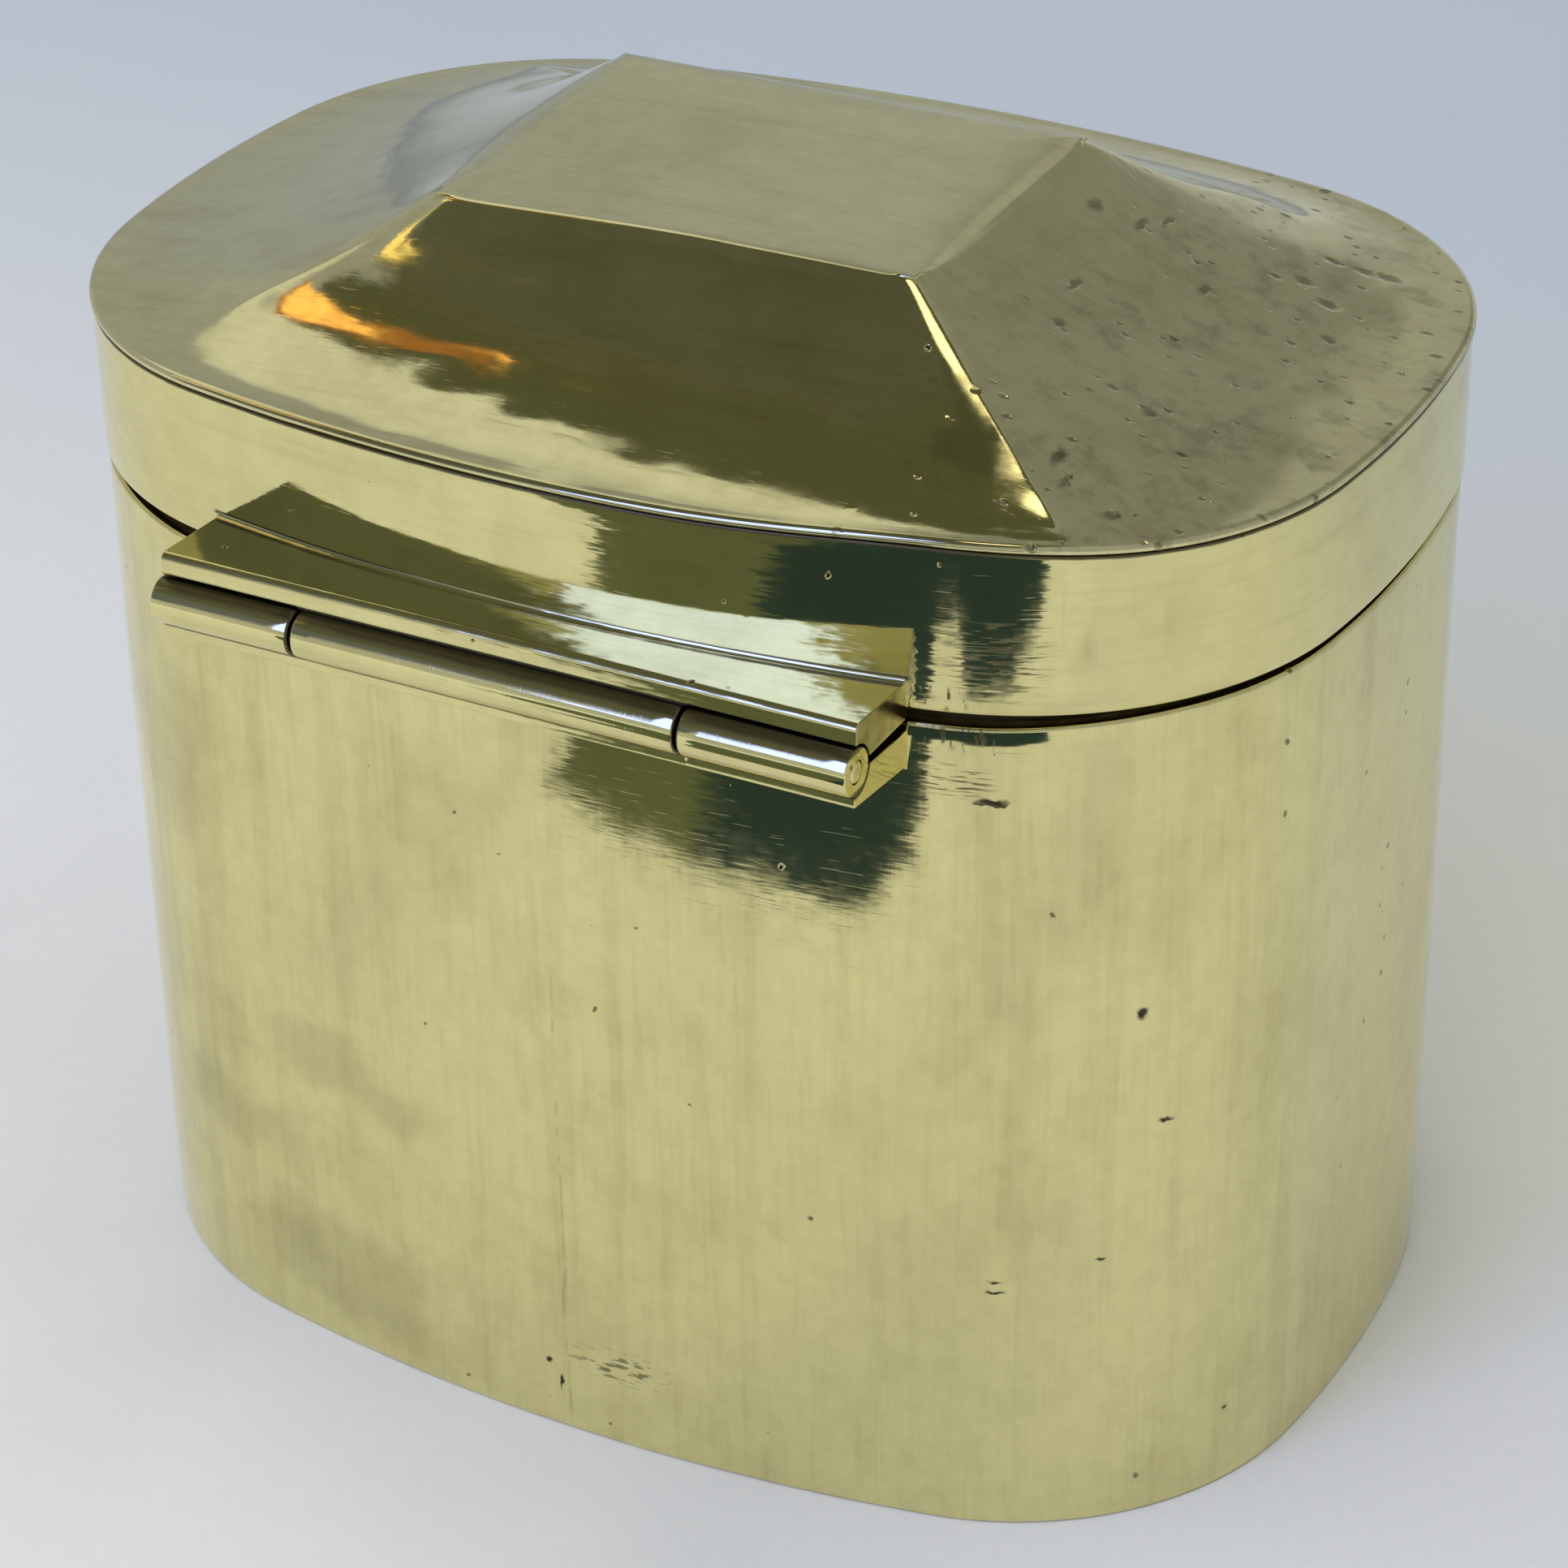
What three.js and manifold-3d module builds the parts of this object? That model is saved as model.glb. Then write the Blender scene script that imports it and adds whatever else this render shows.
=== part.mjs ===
// Needle case: a hand-made hinged box of sheet brass with a hipped, swept-up lid.
// Units are millimetres. +Z is up, X runs along the long side, and the hinge is on the +Y side.
// The origin is the middle of the base, on the surface that the box stands on.
import * as THREE from 'three';
import { mergeVertices } from 'three/addons/utils/BufferGeometryUtils.js';
import Module from 'manifold-3d';

const wasm = await Module();
wasm.setup();

// Plan of the box: four shallow arcs joined by four round corners.
const HALF_LENGTH = 30;
const HALF_DEPTH = 21.74;
const LONG_SIDE_RADIUS = 88.7;
const END_RADIUS = 54.6;
const CORNER_RADIUS = 15.3;
const ARC_SEGMENTS = 6;

// Heights above the resting plane.
const SEAM_Z = 41.39;
const RIM_Z = 48.91;
const PLATEAU_Z = 55.1;

// Sheet metal.
const SHEET = 0.8;
const BASE_SHEET = 1.0;
const COLLAR_SHEET = 0.6;
const SEAM_GAP = 0.3;
const NEST_GAP = 0.2;
const SOLDER_GAP = 0.3;

// The lid stands slightly proud of the wall, and its top plate slightly proud of its band.
const BAND_PROUD = 0.1;
const PLATE_PROUD = 0.25;

// The collar inside the mouth, which the lid closes over.
const COLLAR_STAND = 2.4;
const COLLAR_SINK = 6;

// The flat top of the lid, which sits a little towards the hinge, how far along X its four hip
// ridges reach at the rim, and the sweep of its slopes.
const PLATEAU_HALF_LENGTH = 11.8;
const PLATEAU_HALF_DEPTH = 8.6;
const PLATEAU_SHIFT_Y = 1.0;
const RIDGE_END_X = 22.5;
const SWEEP = 1.6;
const SWEEP_STEPS = 9;
const LONG_SLOPE_STEPS = 16;
const END_SLOPE_STEPS = 12;

// The hinge stands off the wall. Its axis runs along X.
const HINGE_HALF_LENGTH = 16.5;
const AXIS_Y = HALF_DEPTH + 2.95;
const AXIS_Z = 40.9;
const KNUCKLE_RADIUS = 1.05;
const BORE_RADIUS = 0.58;
const PIN_RADIUS = 0.5;
const KNUCKLE_SPLITS = [-8.8, 9.6];
const KNUCKLE_GAP = 0.2;
const KNUCKLE_CHAMFER = 0.12;
const TROUGH_RADIUS = KNUCKLE_RADIUS + 0.1;
const ROUND_SEGMENTS = 32;

// Heights of the two hinge bars at the outer edge and at the wall.
const BAR_TOP_OUT = 43.0;
const BAR_TOP_WALL = 42.65;
const BAR_BOTTOM = 41.05;
const BAR_EDGE_RADIUS = 0.3;
const LEDGE_TOP_OUT = 40.75;
const LEDGE_TOP_WALL = 40.45;
const LEDGE_BOTTOM_OUT = 39.3;
const LEDGE_BOTTOM_WALL = 38.75;
const LIP_REACH = 0.2;
const BAR_ROOT_Y = HALF_DEPTH - 4;

const BRASS = { color: 0xb5ad78, roughness: 0.34, metalness: 1 };
const BRASS_LID = { color: 0x9c9a78, roughness: 0.28, metalness: 1 };
const BRASS_INSIDE = { color: 0x8f8558, roughness: 0.5, metalness: 1 };
const BRASS_HINGE = { color: 0xc3bd92, roughness: 0.3, metalness: 1 };

// Centre of the +X +Y corner arc, and the angles at which the three arcs meet.
function cornerOf() {
  const longY = HALF_DEPTH - LONG_SIDE_RADIUS;
  const endX = HALF_LENGTH - END_RADIUS;
  const fromLong = LONG_SIDE_RADIUS - CORNER_RADIUS;
  const fromEnd = END_RADIUS - CORNER_RADIUS;
  const span = Math.hypot(endX, longY);
  const along = (fromLong ** 2 - fromEnd ** 2 + span ** 2) / (2 * span);
  const aside = Math.sqrt(fromLong ** 2 - along ** 2);
  const ux = endX / span;
  const uy = -longY / span;
  const x = along * ux + aside * uy;
  const y = longY + along * uy - aside * ux;
  const corner = x > 0 && y > 0 ? { x, y } : {
    x: along * ux - aside * uy,
    y: longY + along * uy + aside * ux,
  };
  return {
    ...corner,
    longY,
    endX,
    longAngle: Math.atan2(corner.y - longY, corner.x),
    endAngle: Math.atan2(corner.y, corner.x - endX),
  };
}

const CORNER = cornerOf();

// The plan outline, moved outwards by `out` (inwards when negative), as a shape or a hole.
function tracePlan(path, out) {
  const { x, y, longY, endX, longAngle, endAngle } = CORNER;
  const long = LONG_SIDE_RADIUS + out;
  const end = END_RADIUS + out;
  const corner = CORNER_RADIUS + out;
  const turn = Math.PI;
  path.absarc(endX, 0, end, -endAngle, endAngle);
  path.absarc(x, y, corner, endAngle, longAngle);
  path.absarc(0, longY, long, longAngle, turn - longAngle);
  path.absarc(-x, y, corner, turn - longAngle, turn - endAngle);
  path.absarc(-endX, 0, end, turn - endAngle, turn + endAngle);
  path.absarc(-x, -y, corner, turn + endAngle, turn + longAngle);
  path.absarc(0, -longY, long, turn + longAngle, 2 * turn - longAngle);
  path.absarc(x, -y, corner, -longAngle, -endAngle);
  return path;
}

function plateGeometry(out, bottom, top) {
  const shape = tracePlan(new THREE.Shape(), out);
  const geometry = new THREE.ExtrudeGeometry(shape, {
    depth: top - bottom,
    bevelEnabled: false,
    curveSegments: ARC_SEGMENTS,
  });
  return geometry.translate(0, 0, bottom);
}

function ringGeometry(out, thickness, bottom, top) {
  const shape = tracePlan(new THREE.Shape(), out);
  shape.holes.push(tracePlan(new THREE.Path(), out - thickness));
  const geometry = new THREE.ExtrudeGeometry(shape, {
    depth: top - bottom,
    bevelEnabled: false,
    curveSegments: ARC_SEGMENTS,
  });
  return geometry.translate(0, 0, bottom);
}

// Distance from the long axis to the lid's rim at a given x, and from the short axis at a given y.
function rimY(x) {
  const long = LONG_SIDE_RADIUS + PLATE_PROUD;
  const corner = CORNER_RADIUS + PLATE_PROUD;
  const end = END_RADIUS + PLATE_PROUD;
  if (x <= long * Math.cos(CORNER.longAngle)) return CORNER.longY + Math.sqrt(long ** 2 - x ** 2);
  if (x <= CORNER.x + corner * Math.cos(CORNER.endAngle)) {
    return CORNER.y + Math.sqrt(corner ** 2 - (x - CORNER.x) ** 2);
  }
  return Math.sqrt(Math.max(0, end ** 2 - (x - CORNER.endX) ** 2));
}

function rimX(y) {
  const long = LONG_SIDE_RADIUS + PLATE_PROUD;
  const corner = CORNER_RADIUS + PLATE_PROUD;
  const end = END_RADIUS + PLATE_PROUD;
  if (y <= end * Math.sin(CORNER.endAngle)) return CORNER.endX + Math.sqrt(end ** 2 - y ** 2);
  if (y <= CORNER.y + corner * Math.sin(CORNER.longAngle)) {
    return CORNER.x + Math.sqrt(corner ** 2 - (y - CORNER.y) ** 2);
  }
  return Math.sqrt(Math.max(0, long ** 2 - (y - CORNER.longY) ** 2));
}

// Matching points round the flat top and round the rim, anticlockwise from the front left ridge.
// The four slopes are drawn straight from one to the other in plan, so the ridges are straight.
function slopeSpokes() {
  const ridgeY = rimY(RIDGE_END_X);
  const spokes = [];
  const bend = (i, steps) => Math.sin((i / steps - 0.5) * Math.PI * 0.8) / Math.sin(0.4 * Math.PI);
  const addLongSlope = (side) => {
    for (let i = 0; i < LONG_SLOPE_STEPS; i++) {
      const share = -side * bend(i, LONG_SLOPE_STEPS);
      const flat = [share * PLATEAU_HALF_LENGTH, side * PLATEAU_HALF_DEPTH + PLATEAU_SHIFT_Y];
      const x = share * RIDGE_END_X;
      spokes.push({ flat, rim: [x, side * rimY(Math.abs(x))] });
    }
  };
  const addEndSlope = (side) => {
    for (let i = 0; i < END_SLOPE_STEPS; i++) {
      const share = side * bend(i, END_SLOPE_STEPS);
      const flat = [side * PLATEAU_HALF_LENGTH, share * PLATEAU_HALF_DEPTH + PLATEAU_SHIFT_Y];
      const y = share * ridgeY;
      spokes.push({ flat, rim: [side * rimX(Math.abs(y)), y] });
    }
  };
  addLongSlope(-1);
  addEndSlope(1);
  addLongSlope(1);
  addEndSlope(-1);
  return spokes;
}

// The raised plate of the lid: two parallel swept skins joined round the rim.
function lidTopGeometry() {
  const positions = [];
  const faces = [];
  const spokes = slopeSpokes();
  const count = spokes.length;
  const skin = (drop) => {
    const start = positions.length / 3;
    for (let step = 0; step <= SWEEP_STEPS; step++) {
      const out = step / SWEEP_STEPS;
      const z = RIM_Z + (PLATEAU_Z - RIM_Z) * (1 - out) ** SWEEP - drop;
      spokes.forEach(({ flat, rim }) => {
        positions.push(flat[0] + out * (rim[0] - flat[0]), flat[1] + out * (rim[1] - flat[1]), z);
      });
    }
    positions.push(0, PLATEAU_SHIFT_Y, PLATEAU_Z - drop);
    return start;
  };
  const upper = skin(0);
  const lower = skin(SHEET);
  const quad = (a, b, c, d) => faces.push(a, b, c, a, c, d);
  for (let i = 0; i < count; i++) {
    const next = (i + 1) % count;
    for (let step = 0; step < SWEEP_STEPS; step++) {
      const here = step * count;
      const out = here + count;
      quad(upper + here + i, upper + out + i, upper + out + next, upper + here + next);
      quad(lower + here + next, lower + out + next, lower + out + i, lower + here + i);
    }
    const rim = SWEEP_STEPS * count;
    quad(upper + rim + i, lower + rim + i, lower + rim + next, upper + rim + next);
    const centre = (SWEEP_STEPS + 1) * count;
    faces.push(upper + centre, upper + i, upper + next);
    faces.push(lower + centre, lower + next, lower + i);
  }
  const geometry = new THREE.BufferGeometry();
  geometry.setAttribute('position', new THREE.Float32BufferAttribute(positions, 3));
  geometry.setIndex(faces);
  return geometry;
}

// A profile drawn in the Y-Z plane, extruded along X over the length of the hinge.
function hingeExtrusion(profile) {
  const geometry = new THREE.ExtrudeGeometry(profile, {
    depth: 2 * HINGE_HALF_LENGTH,
    bevelEnabled: false,
    curveSegments: ARC_SEGMENTS,
  });
  geometry.rotateX(Math.PI / 2);
  geometry.rotateZ(Math.PI / 2);
  return geometry.translate(-HINGE_HALF_LENGTH, 0, 0);
}

function barProfile() {
  const profile = new THREE.Shape();
  profile.moveTo(BAR_ROOT_Y, BAR_BOTTOM);
  profile.lineTo(AXIS_Y, BAR_BOTTOM);
  profile.lineTo(AXIS_Y, BAR_TOP_OUT - BAR_EDGE_RADIUS);
  profile.absarc(AXIS_Y - BAR_EDGE_RADIUS, BAR_TOP_OUT - BAR_EDGE_RADIUS, BAR_EDGE_RADIUS, 0, Math.PI / 2);
  profile.lineTo(BAR_ROOT_Y, BAR_TOP_WALL);
  return profile;
}

function ledgeProfile() {
  const profile = new THREE.Shape();
  profile.moveTo(BAR_ROOT_Y, LEDGE_BOTTOM_WALL);
  profile.lineTo(AXIS_Y + LIP_REACH, LEDGE_BOTTOM_OUT);
  profile.lineTo(AXIS_Y + LIP_REACH, LEDGE_TOP_OUT);
  profile.lineTo(BAR_ROOT_Y, LEDGE_TOP_WALL);
  return profile;
}

// A turned piece on the hinge axis, from its profile of [radius, x] points.
function onAxis(profile) {
  const points = profile.map(([radius, x]) => new THREE.Vector2(radius, x));
  const geometry = new THREE.LatheGeometry(points, ROUND_SEGMENTS);
  geometry.rotateZ(-Math.PI / 2);
  return geometry.translate(0, AXIS_Y, AXIS_Z);
}

function knuckleGeometry(from, to) {
  const shoulder = KNUCKLE_RADIUS - KNUCKLE_CHAMFER;
  return onAxis([
    [BORE_RADIUS, from],
    [shoulder, from],
    [KNUCKLE_RADIUS, from + KNUCKLE_CHAMFER],
    [KNUCKLE_RADIUS, to - KNUCKLE_CHAMFER],
    [shoulder, to],
    [BORE_RADIUS, to],
    [BORE_RADIUS, from],
  ]);
}

function pinGeometry() {
  return onAxis([
    [0, -HINGE_HALF_LENGTH],
    [PIN_RADIUS, -HINGE_HALF_LENGTH],
    [PIN_RADIUS, HINGE_HALF_LENGTH],
    [0, HINGE_HALF_LENGTH],
  ]);
}

function troughCutter() {
  const reach = HINGE_HALF_LENGTH + 1;
  return onAxis([[0, -reach], [TROUGH_RADIUS, -reach], [TROUGH_RADIUS, reach], [0, reach]]);
}

function toSolid(geometry) {
  const bare = geometry.clone();
  bare.deleteAttribute('normal');
  bare.deleteAttribute('uv');
  const merged = mergeVertices(bare, 1e-5);
  return new wasm.Manifold(new wasm.Mesh({
    numProp: 3,
    vertProperties: merged.attributes.position.array,
    triVerts: new Uint32Array(merged.index.array),
  }));
}

function fromSolid(solid) {
  const mesh = solid.getMesh();
  const geometry = new THREE.BufferGeometry();
  geometry.setAttribute('position', new THREE.BufferAttribute(mesh.vertProperties, 3));
  geometry.setIndex(new THREE.BufferAttribute(mesh.triVerts, 1));
  return geometry;
}

// A hinge bar cut back to the curve of the wall that it is soldered to, and hollowed for the knuckles.
function hingeBarGeometry(profile, wallOut) {
  const wall = toSolid(plateGeometry(wallOut + SOLDER_GAP, 0, PLATEAU_Z));
  const trough = toSolid(troughCutter());
  return fromSolid(toSolid(hingeExtrusion(profile)).subtract(wall).subtract(trough));
}

function named(name, geometry, finish) {
  const mesh = new THREE.Mesh(geometry, new THREE.MeshStandardMaterial(finish));
  mesh.name = name;
  return mesh;
}

function bodyGroup() {
  const group = new THREE.Group();
  const collarOut = -SHEET - NEST_GAP;
  const collarBottom = SEAM_Z - COLLAR_SINK;
  const collarTop = SEAM_Z + COLLAR_STAND;
  const wall = ringGeometry(0, SHEET, 0, SEAM_Z - SEAM_GAP / 2);
  const base = plateGeometry(-SHEET - NEST_GAP, 0, BASE_SHEET);
  const collar = ringGeometry(collarOut, COLLAR_SHEET, collarBottom, collarTop);
  const [left, right] = KNUCKLE_SPLITS;
  const half = KNUCKLE_GAP / 2;
  group.add(named('body_wall', wall, BRASS));
  group.add(named('base_plate', base, BRASS));
  group.add(named('inner_collar', collar, BRASS_INSIDE));
  group.add(named('body_hinge_ledge', hingeBarGeometry(ledgeProfile(), 0), BRASS_HINGE));
  group.add(named('body_knuckle_left', knuckleGeometry(-HINGE_HALF_LENGTH, left - half), BRASS_HINGE));
  group.add(named('body_knuckle_right', knuckleGeometry(right + half, HINGE_HALF_LENGTH), BRASS_HINGE));
  group.add(named('hinge_pin', pinGeometry(), BRASS_HINGE));
  return group;
}

function lidGroup() {
  const group = new THREE.Group();
  const band = ringGeometry(BAND_PROUD, SHEET, SEAM_Z + SEAM_GAP / 2, RIM_Z - SHEET);
  const [left, right] = KNUCKLE_SPLITS;
  const half = KNUCKLE_GAP / 2;
  group.add(named('lid_band', band, BRASS));
  group.add(named('lid_top', lidTopGeometry(), BRASS_LID));
  group.add(named('lid_hinge_bar', hingeBarGeometry(barProfile(), BAND_PROUD), BRASS_HINGE));
  group.add(named('lid_knuckle', knuckleGeometry(left + half, right - half), BRASS_HINGE));
  return group;
}

const needleCase = new THREE.Group();
needleCase.add(bodyGroup(), lidGroup());

export default needleCase;
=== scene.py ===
"""Needle case: a small hand-made brass box with a hinged, hipped lid, on a pale floor."""
import math

import bmesh
import bpy
import numpy as np
from mathutils import Matrix, Vector, noise


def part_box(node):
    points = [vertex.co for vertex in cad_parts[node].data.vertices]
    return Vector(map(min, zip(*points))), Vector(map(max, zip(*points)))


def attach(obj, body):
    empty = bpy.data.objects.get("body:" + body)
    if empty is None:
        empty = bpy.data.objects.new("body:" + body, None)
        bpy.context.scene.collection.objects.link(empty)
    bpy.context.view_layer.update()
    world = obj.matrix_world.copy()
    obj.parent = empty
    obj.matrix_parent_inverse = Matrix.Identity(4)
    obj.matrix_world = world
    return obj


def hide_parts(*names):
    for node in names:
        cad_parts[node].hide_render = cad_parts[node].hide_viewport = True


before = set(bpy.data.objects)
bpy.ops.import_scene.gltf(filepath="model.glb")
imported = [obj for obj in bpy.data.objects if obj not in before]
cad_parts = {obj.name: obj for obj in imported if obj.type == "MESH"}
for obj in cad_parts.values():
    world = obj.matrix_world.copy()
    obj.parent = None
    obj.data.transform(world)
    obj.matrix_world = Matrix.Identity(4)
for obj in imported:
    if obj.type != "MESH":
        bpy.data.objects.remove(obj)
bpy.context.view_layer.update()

# Sizes are in millimetres until a mesh is made, and +Z is up with the hinge on the +Y side.
MM = 0.001


def box_mm(node):
    low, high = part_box(node)
    return low / MM, high / MM


WALL_HIGH = box_mm("body_wall")[1]
BAND_LOW, BAND_HIGH = box_mm("lid_band")
TOP_LOW, TOP_HIGH = box_mm("lid_top")
COLLAR_LOW, COLLAR_HIGH = box_mm("inner_collar")
BASE_HIGH = box_mm("base_plate")[1]
BAR_LOW, BAR_HIGH = box_mm("lid_hinge_bar")
LEDGE_HIGH = box_mm("body_hinge_ledge")[1]
PIN_LOW, PIN_HIGH = box_mm("hinge_pin")
LEFT_LOW, LEFT_HIGH = box_mm("body_knuckle_left")
MIDDLE_LOW, MIDDLE_HIGH = box_mm("lid_knuckle")
RIGHT_LOW, RIGHT_HIGH = box_mm("body_knuckle_right")

# Plan of the box, as four shallow arcs joined by four round corners.
HALF_LENGTH = WALL_HIGH.x
HALF_DEPTH = WALL_HIGH.y
LONG_SIDE_RADIUS = 88.7
END_RADIUS = 54.6
CORNER_RADIUS = 15.3
SHEET = 0.8

# Lid: the flat top and the sweep of its slopes.
RIM_Z = TOP_LOW.z + SHEET
PLATEAU_Z = TOP_HIGH.z
PLATEAU_HALF_LENGTH = 11.8
PLATEAU_HALF_DEPTH = 8.6
PLATEAU_SHIFT_Y = 1.0
RIDGE_END_X = 22.5
SWEEP = 1.65

# Hinge.
AXIS_Y = (PIN_LOW.y + PIN_HIGH.y) / 2
AXIS_Z = (PIN_LOW.z + PIN_HIGH.z) / 2
PIN_RADIUS = (PIN_HIGH.z - PIN_LOW.z) / 2
KNUCKLE_RADIUS = (MIDDLE_HIGH.z - MIDDLE_LOW.z) / 2
KNUCKLE_JOINTS = (LEFT_HIGH.x, MIDDLE_LOW.x, MIDDLE_HIGH.x, RIGHT_LOW.x)
HINGE_END = PIN_HIGH.x


# ---- plan curve

def corner_arc():
    """Centre of the +X +Y corner arc, and the angles where it meets its neighbours."""
    long_y = HALF_DEPTH - LONG_SIDE_RADIUS
    end_x = HALF_LENGTH - END_RADIUS
    from_long = LONG_SIDE_RADIUS - CORNER_RADIUS
    from_end = END_RADIUS - CORNER_RADIUS
    span = math.hypot(end_x, long_y)
    along = (from_long ** 2 - from_end ** 2 + span ** 2) / (2 * span)
    aside = math.sqrt(from_long ** 2 - along ** 2)
    ux, uy = end_x / span, -long_y / span
    for side in (1, -1):
        x = along * ux + side * aside * uy
        y = long_y + along * uy - side * aside * ux
        if x > 0 and y > 0:
            break
    return x, y, math.atan2(y - long_y, x), math.atan2(y, x - end_x)


CORNER_X, CORNER_Y, LONG_ANGLE, END_ANGLE = corner_arc()


def plan_arcs():
    """The outline's arcs as (centre x, centre y, radius, start, end), anticlockwise from mid back."""
    cx, cy, turn = CORNER_X, CORNER_Y, math.pi
    long_y, end_x = HALF_DEPTH - LONG_SIDE_RADIUS, HALF_LENGTH - END_RADIUS
    return [
        (0, long_y, LONG_SIDE_RADIUS, turn / 2, turn - LONG_ANGLE),
        (-cx, cy, CORNER_RADIUS, turn - LONG_ANGLE, turn - END_ANGLE),
        (-end_x, 0, END_RADIUS, turn - END_ANGLE, turn + END_ANGLE),
        (-cx, -cy, CORNER_RADIUS, turn + END_ANGLE, turn + LONG_ANGLE),
        (0, -long_y, LONG_SIDE_RADIUS, turn + LONG_ANGLE, 2 * turn - LONG_ANGLE),
        (cx, -cy, CORNER_RADIUS, -LONG_ANGLE, -END_ANGLE),
        (end_x, 0, END_RADIUS, -END_ANGLE, END_ANGLE),
        (cx, cy, CORNER_RADIUS, END_ANGLE, LONG_ANGLE),
        (0, long_y, LONG_SIDE_RADIUS, LONG_ANGLE, turn / 2),
    ]


def plan_points(count):
    """Evenly spaced outline points from mid back, and their outward normals, as two arrays."""
    arcs = plan_arcs()
    lengths = [radius * (end - start) for _, _, radius, start, end in arcs]
    total = sum(lengths)
    points, normals = [], []
    for i in range(count):
        left = total * i / count
        for (cx, cy, radius, start, end), length in zip(arcs, lengths):
            if left <= length:
                break
            left -= length
        angle = start + left / radius
        normal = (math.cos(angle), math.sin(angle))
        points.append((cx + radius * normal[0], cy + radius * normal[1]))
        normals.append(normal)
    return np.array(points), np.array(normals)


def wall_y(x, out=0.0):
    """How far back the outline reaches at x, moved outwards by `out`."""
    x = abs(x)
    long = LONG_SIDE_RADIUS + out
    if x <= long * math.cos(LONG_ANGLE):
        return HALF_DEPTH - LONG_SIDE_RADIUS + math.sqrt(long ** 2 - x ** 2)
    corner = CORNER_RADIUS + out
    return CORNER_Y + math.sqrt(max(0.0, corner ** 2 - (x - CORNER_X) ** 2))


# ---- mesh helpers

def mesh_object(name, vertices, faces, sharp=None):
    mesh = bpy.data.meshes.new(name)
    mesh.from_pydata([tuple(float(c) * MM for c in v) for v in vertices], [], faces)
    work = bmesh.new()
    work.from_mesh(mesh)
    bmesh.ops.recalc_face_normals(work, faces=work.faces)
    work.to_mesh(mesh)
    work.free()
    for polygon in mesh.polygons:
        polygon.use_smooth = True
    if sharp is not None:
        mesh.set_sharp_from_angle(angle=math.radians(sharp))
    piece = bpy.data.objects.new(name, mesh)
    bpy.context.scene.collection.objects.link(piece)
    return piece


def grid_faces(rings, points, close_rings=True, close_points=True, flip=False):
    """Quads of a grid whose vertex index is ring * points + point."""
    faces = []
    for i in range(rings if close_rings else rings - 1):
        here, after = i * points, (i + 1) % rings * points
        for j in range(points if close_points else points - 1):
            k = (j + 1) % points
            quad = (here + j, after + j, after + k, here + k)
            faces.append(quad[::-1] if flip else quad)
    return faces


def waves(x, y, z, size, seed):
    """Smooth random height from -1 to 1, with bumps about `size` millimetres across."""
    return noise.noise(Vector((x / size + seed * 17.3, y / size - seed * 9.1, z / size + seed * 5.7)))


def ease(value, start, end):
    t = min(1.0, max(0.0, (value - start) / (end - start)))
    return t * t * (3 - 2 * t)


def arc_points(cx, cy, radius, start, end, steps):
    """Points on an arc, with angles in degrees."""
    angles = [math.radians(start + (end - start) * i / steps) for i in range(steps + 1)]
    return [(cx + radius * math.cos(a), cy + radius * math.sin(a)) for a in angles]


def sheet_profile(inner, outer, low, high, rounds, steps):
    """Closed (out, z) profile of an upright sheet; rounds are its edge radii, from the outer
    bottom anticlockwise, and steps the divisions of the outer and inner faces."""
    outer_low, outer_high, inner_high, inner_low = rounds
    profile = arc_points(outer - outer_low, low + outer_low, outer_low, -90, 0, 4)
    start, end = low + outer_low, high - outer_high
    profile += [(outer, start + (end - start) * i / steps[0]) for i in range(1, steps[0])]
    profile += arc_points(outer - outer_high, high - outer_high, outer_high, 0, 90, 4)
    profile += arc_points(inner + inner_high, high - inner_high, inner_high, 90, 180, 4)
    start, end = high - inner_high, low + inner_low
    profile += [(inner, start + (end - start) * i / steps[1]) for i in range(1, steps[1])]
    profile += arc_points(inner + inner_low, low + inner_low, inner_low, 180, 270, 4)
    return profile


def sweep_plan(name, profile, count, shape):
    """A ring of sheet: the profile carried round the plan. shape moves each (out, z) point."""
    points, normals = plan_points(count)
    vertices = []
    for (px, py), (nx, ny) in zip(points, normals):
        for out, z in profile:
            out, z = shape(px + nx * out, py + ny * out, z, out)
            vertices.append((px + nx * out, py + ny * out, z))
    return mesh_object(name, vertices, grid_faces(len(points), len(profile)))


# ---- body pieces

HINGE_RELIEF = 0.3
HINGE_RELIEF_TALL = 1.5
HINGE_RELIEF_ENDS = (18, 27)
WALL_EDGES = (0.25, 0.20, 0.12, 0.12)
BASE_BEVEL = 0.06
BASE_DISH = 0.05


def shape_wall(x, y, z, out):
    """Hand-worked wall: gently uneven, drawn in at its foot, with a relief filed in the top edge
    along the hinge."""
    if out > -SHEET / 2:
        out += 0.05 * waves(x, y, z, 15, 1) + 0.010 * waves(x, y, z, 4.5, 2)
        out += 0.05 * waves(x, y, z, 26, 3)
        out -= 0.06 * ease(z, 3.0, 0.0)
    relief_z = WALL_HIGH.z - HINGE_RELIEF_TALL
    if z > relief_z and y > 0:
        full, none = HINGE_RELIEF_ENDS
        z -= HINGE_RELIEF * ease(abs(x), none, full) * ease(z, relief_z, WALL_HIGH.z)
    if z < 1.0:
        z += 0.05 * max(0.0, waves(x, y, 0, 3, 4)) * ease(z, 1.0, 0.0)
    return out, z


def make_wall():
    profile = sheet_profile(-SHEET, 0, 0, WALL_HIGH.z - 0.04, WALL_EDGES, (44, 12))
    wall = sweep_plan("wall_sheet", profile, 320, shape_wall)
    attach(wall, "box")
    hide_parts("body_wall")
    return wall


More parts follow.
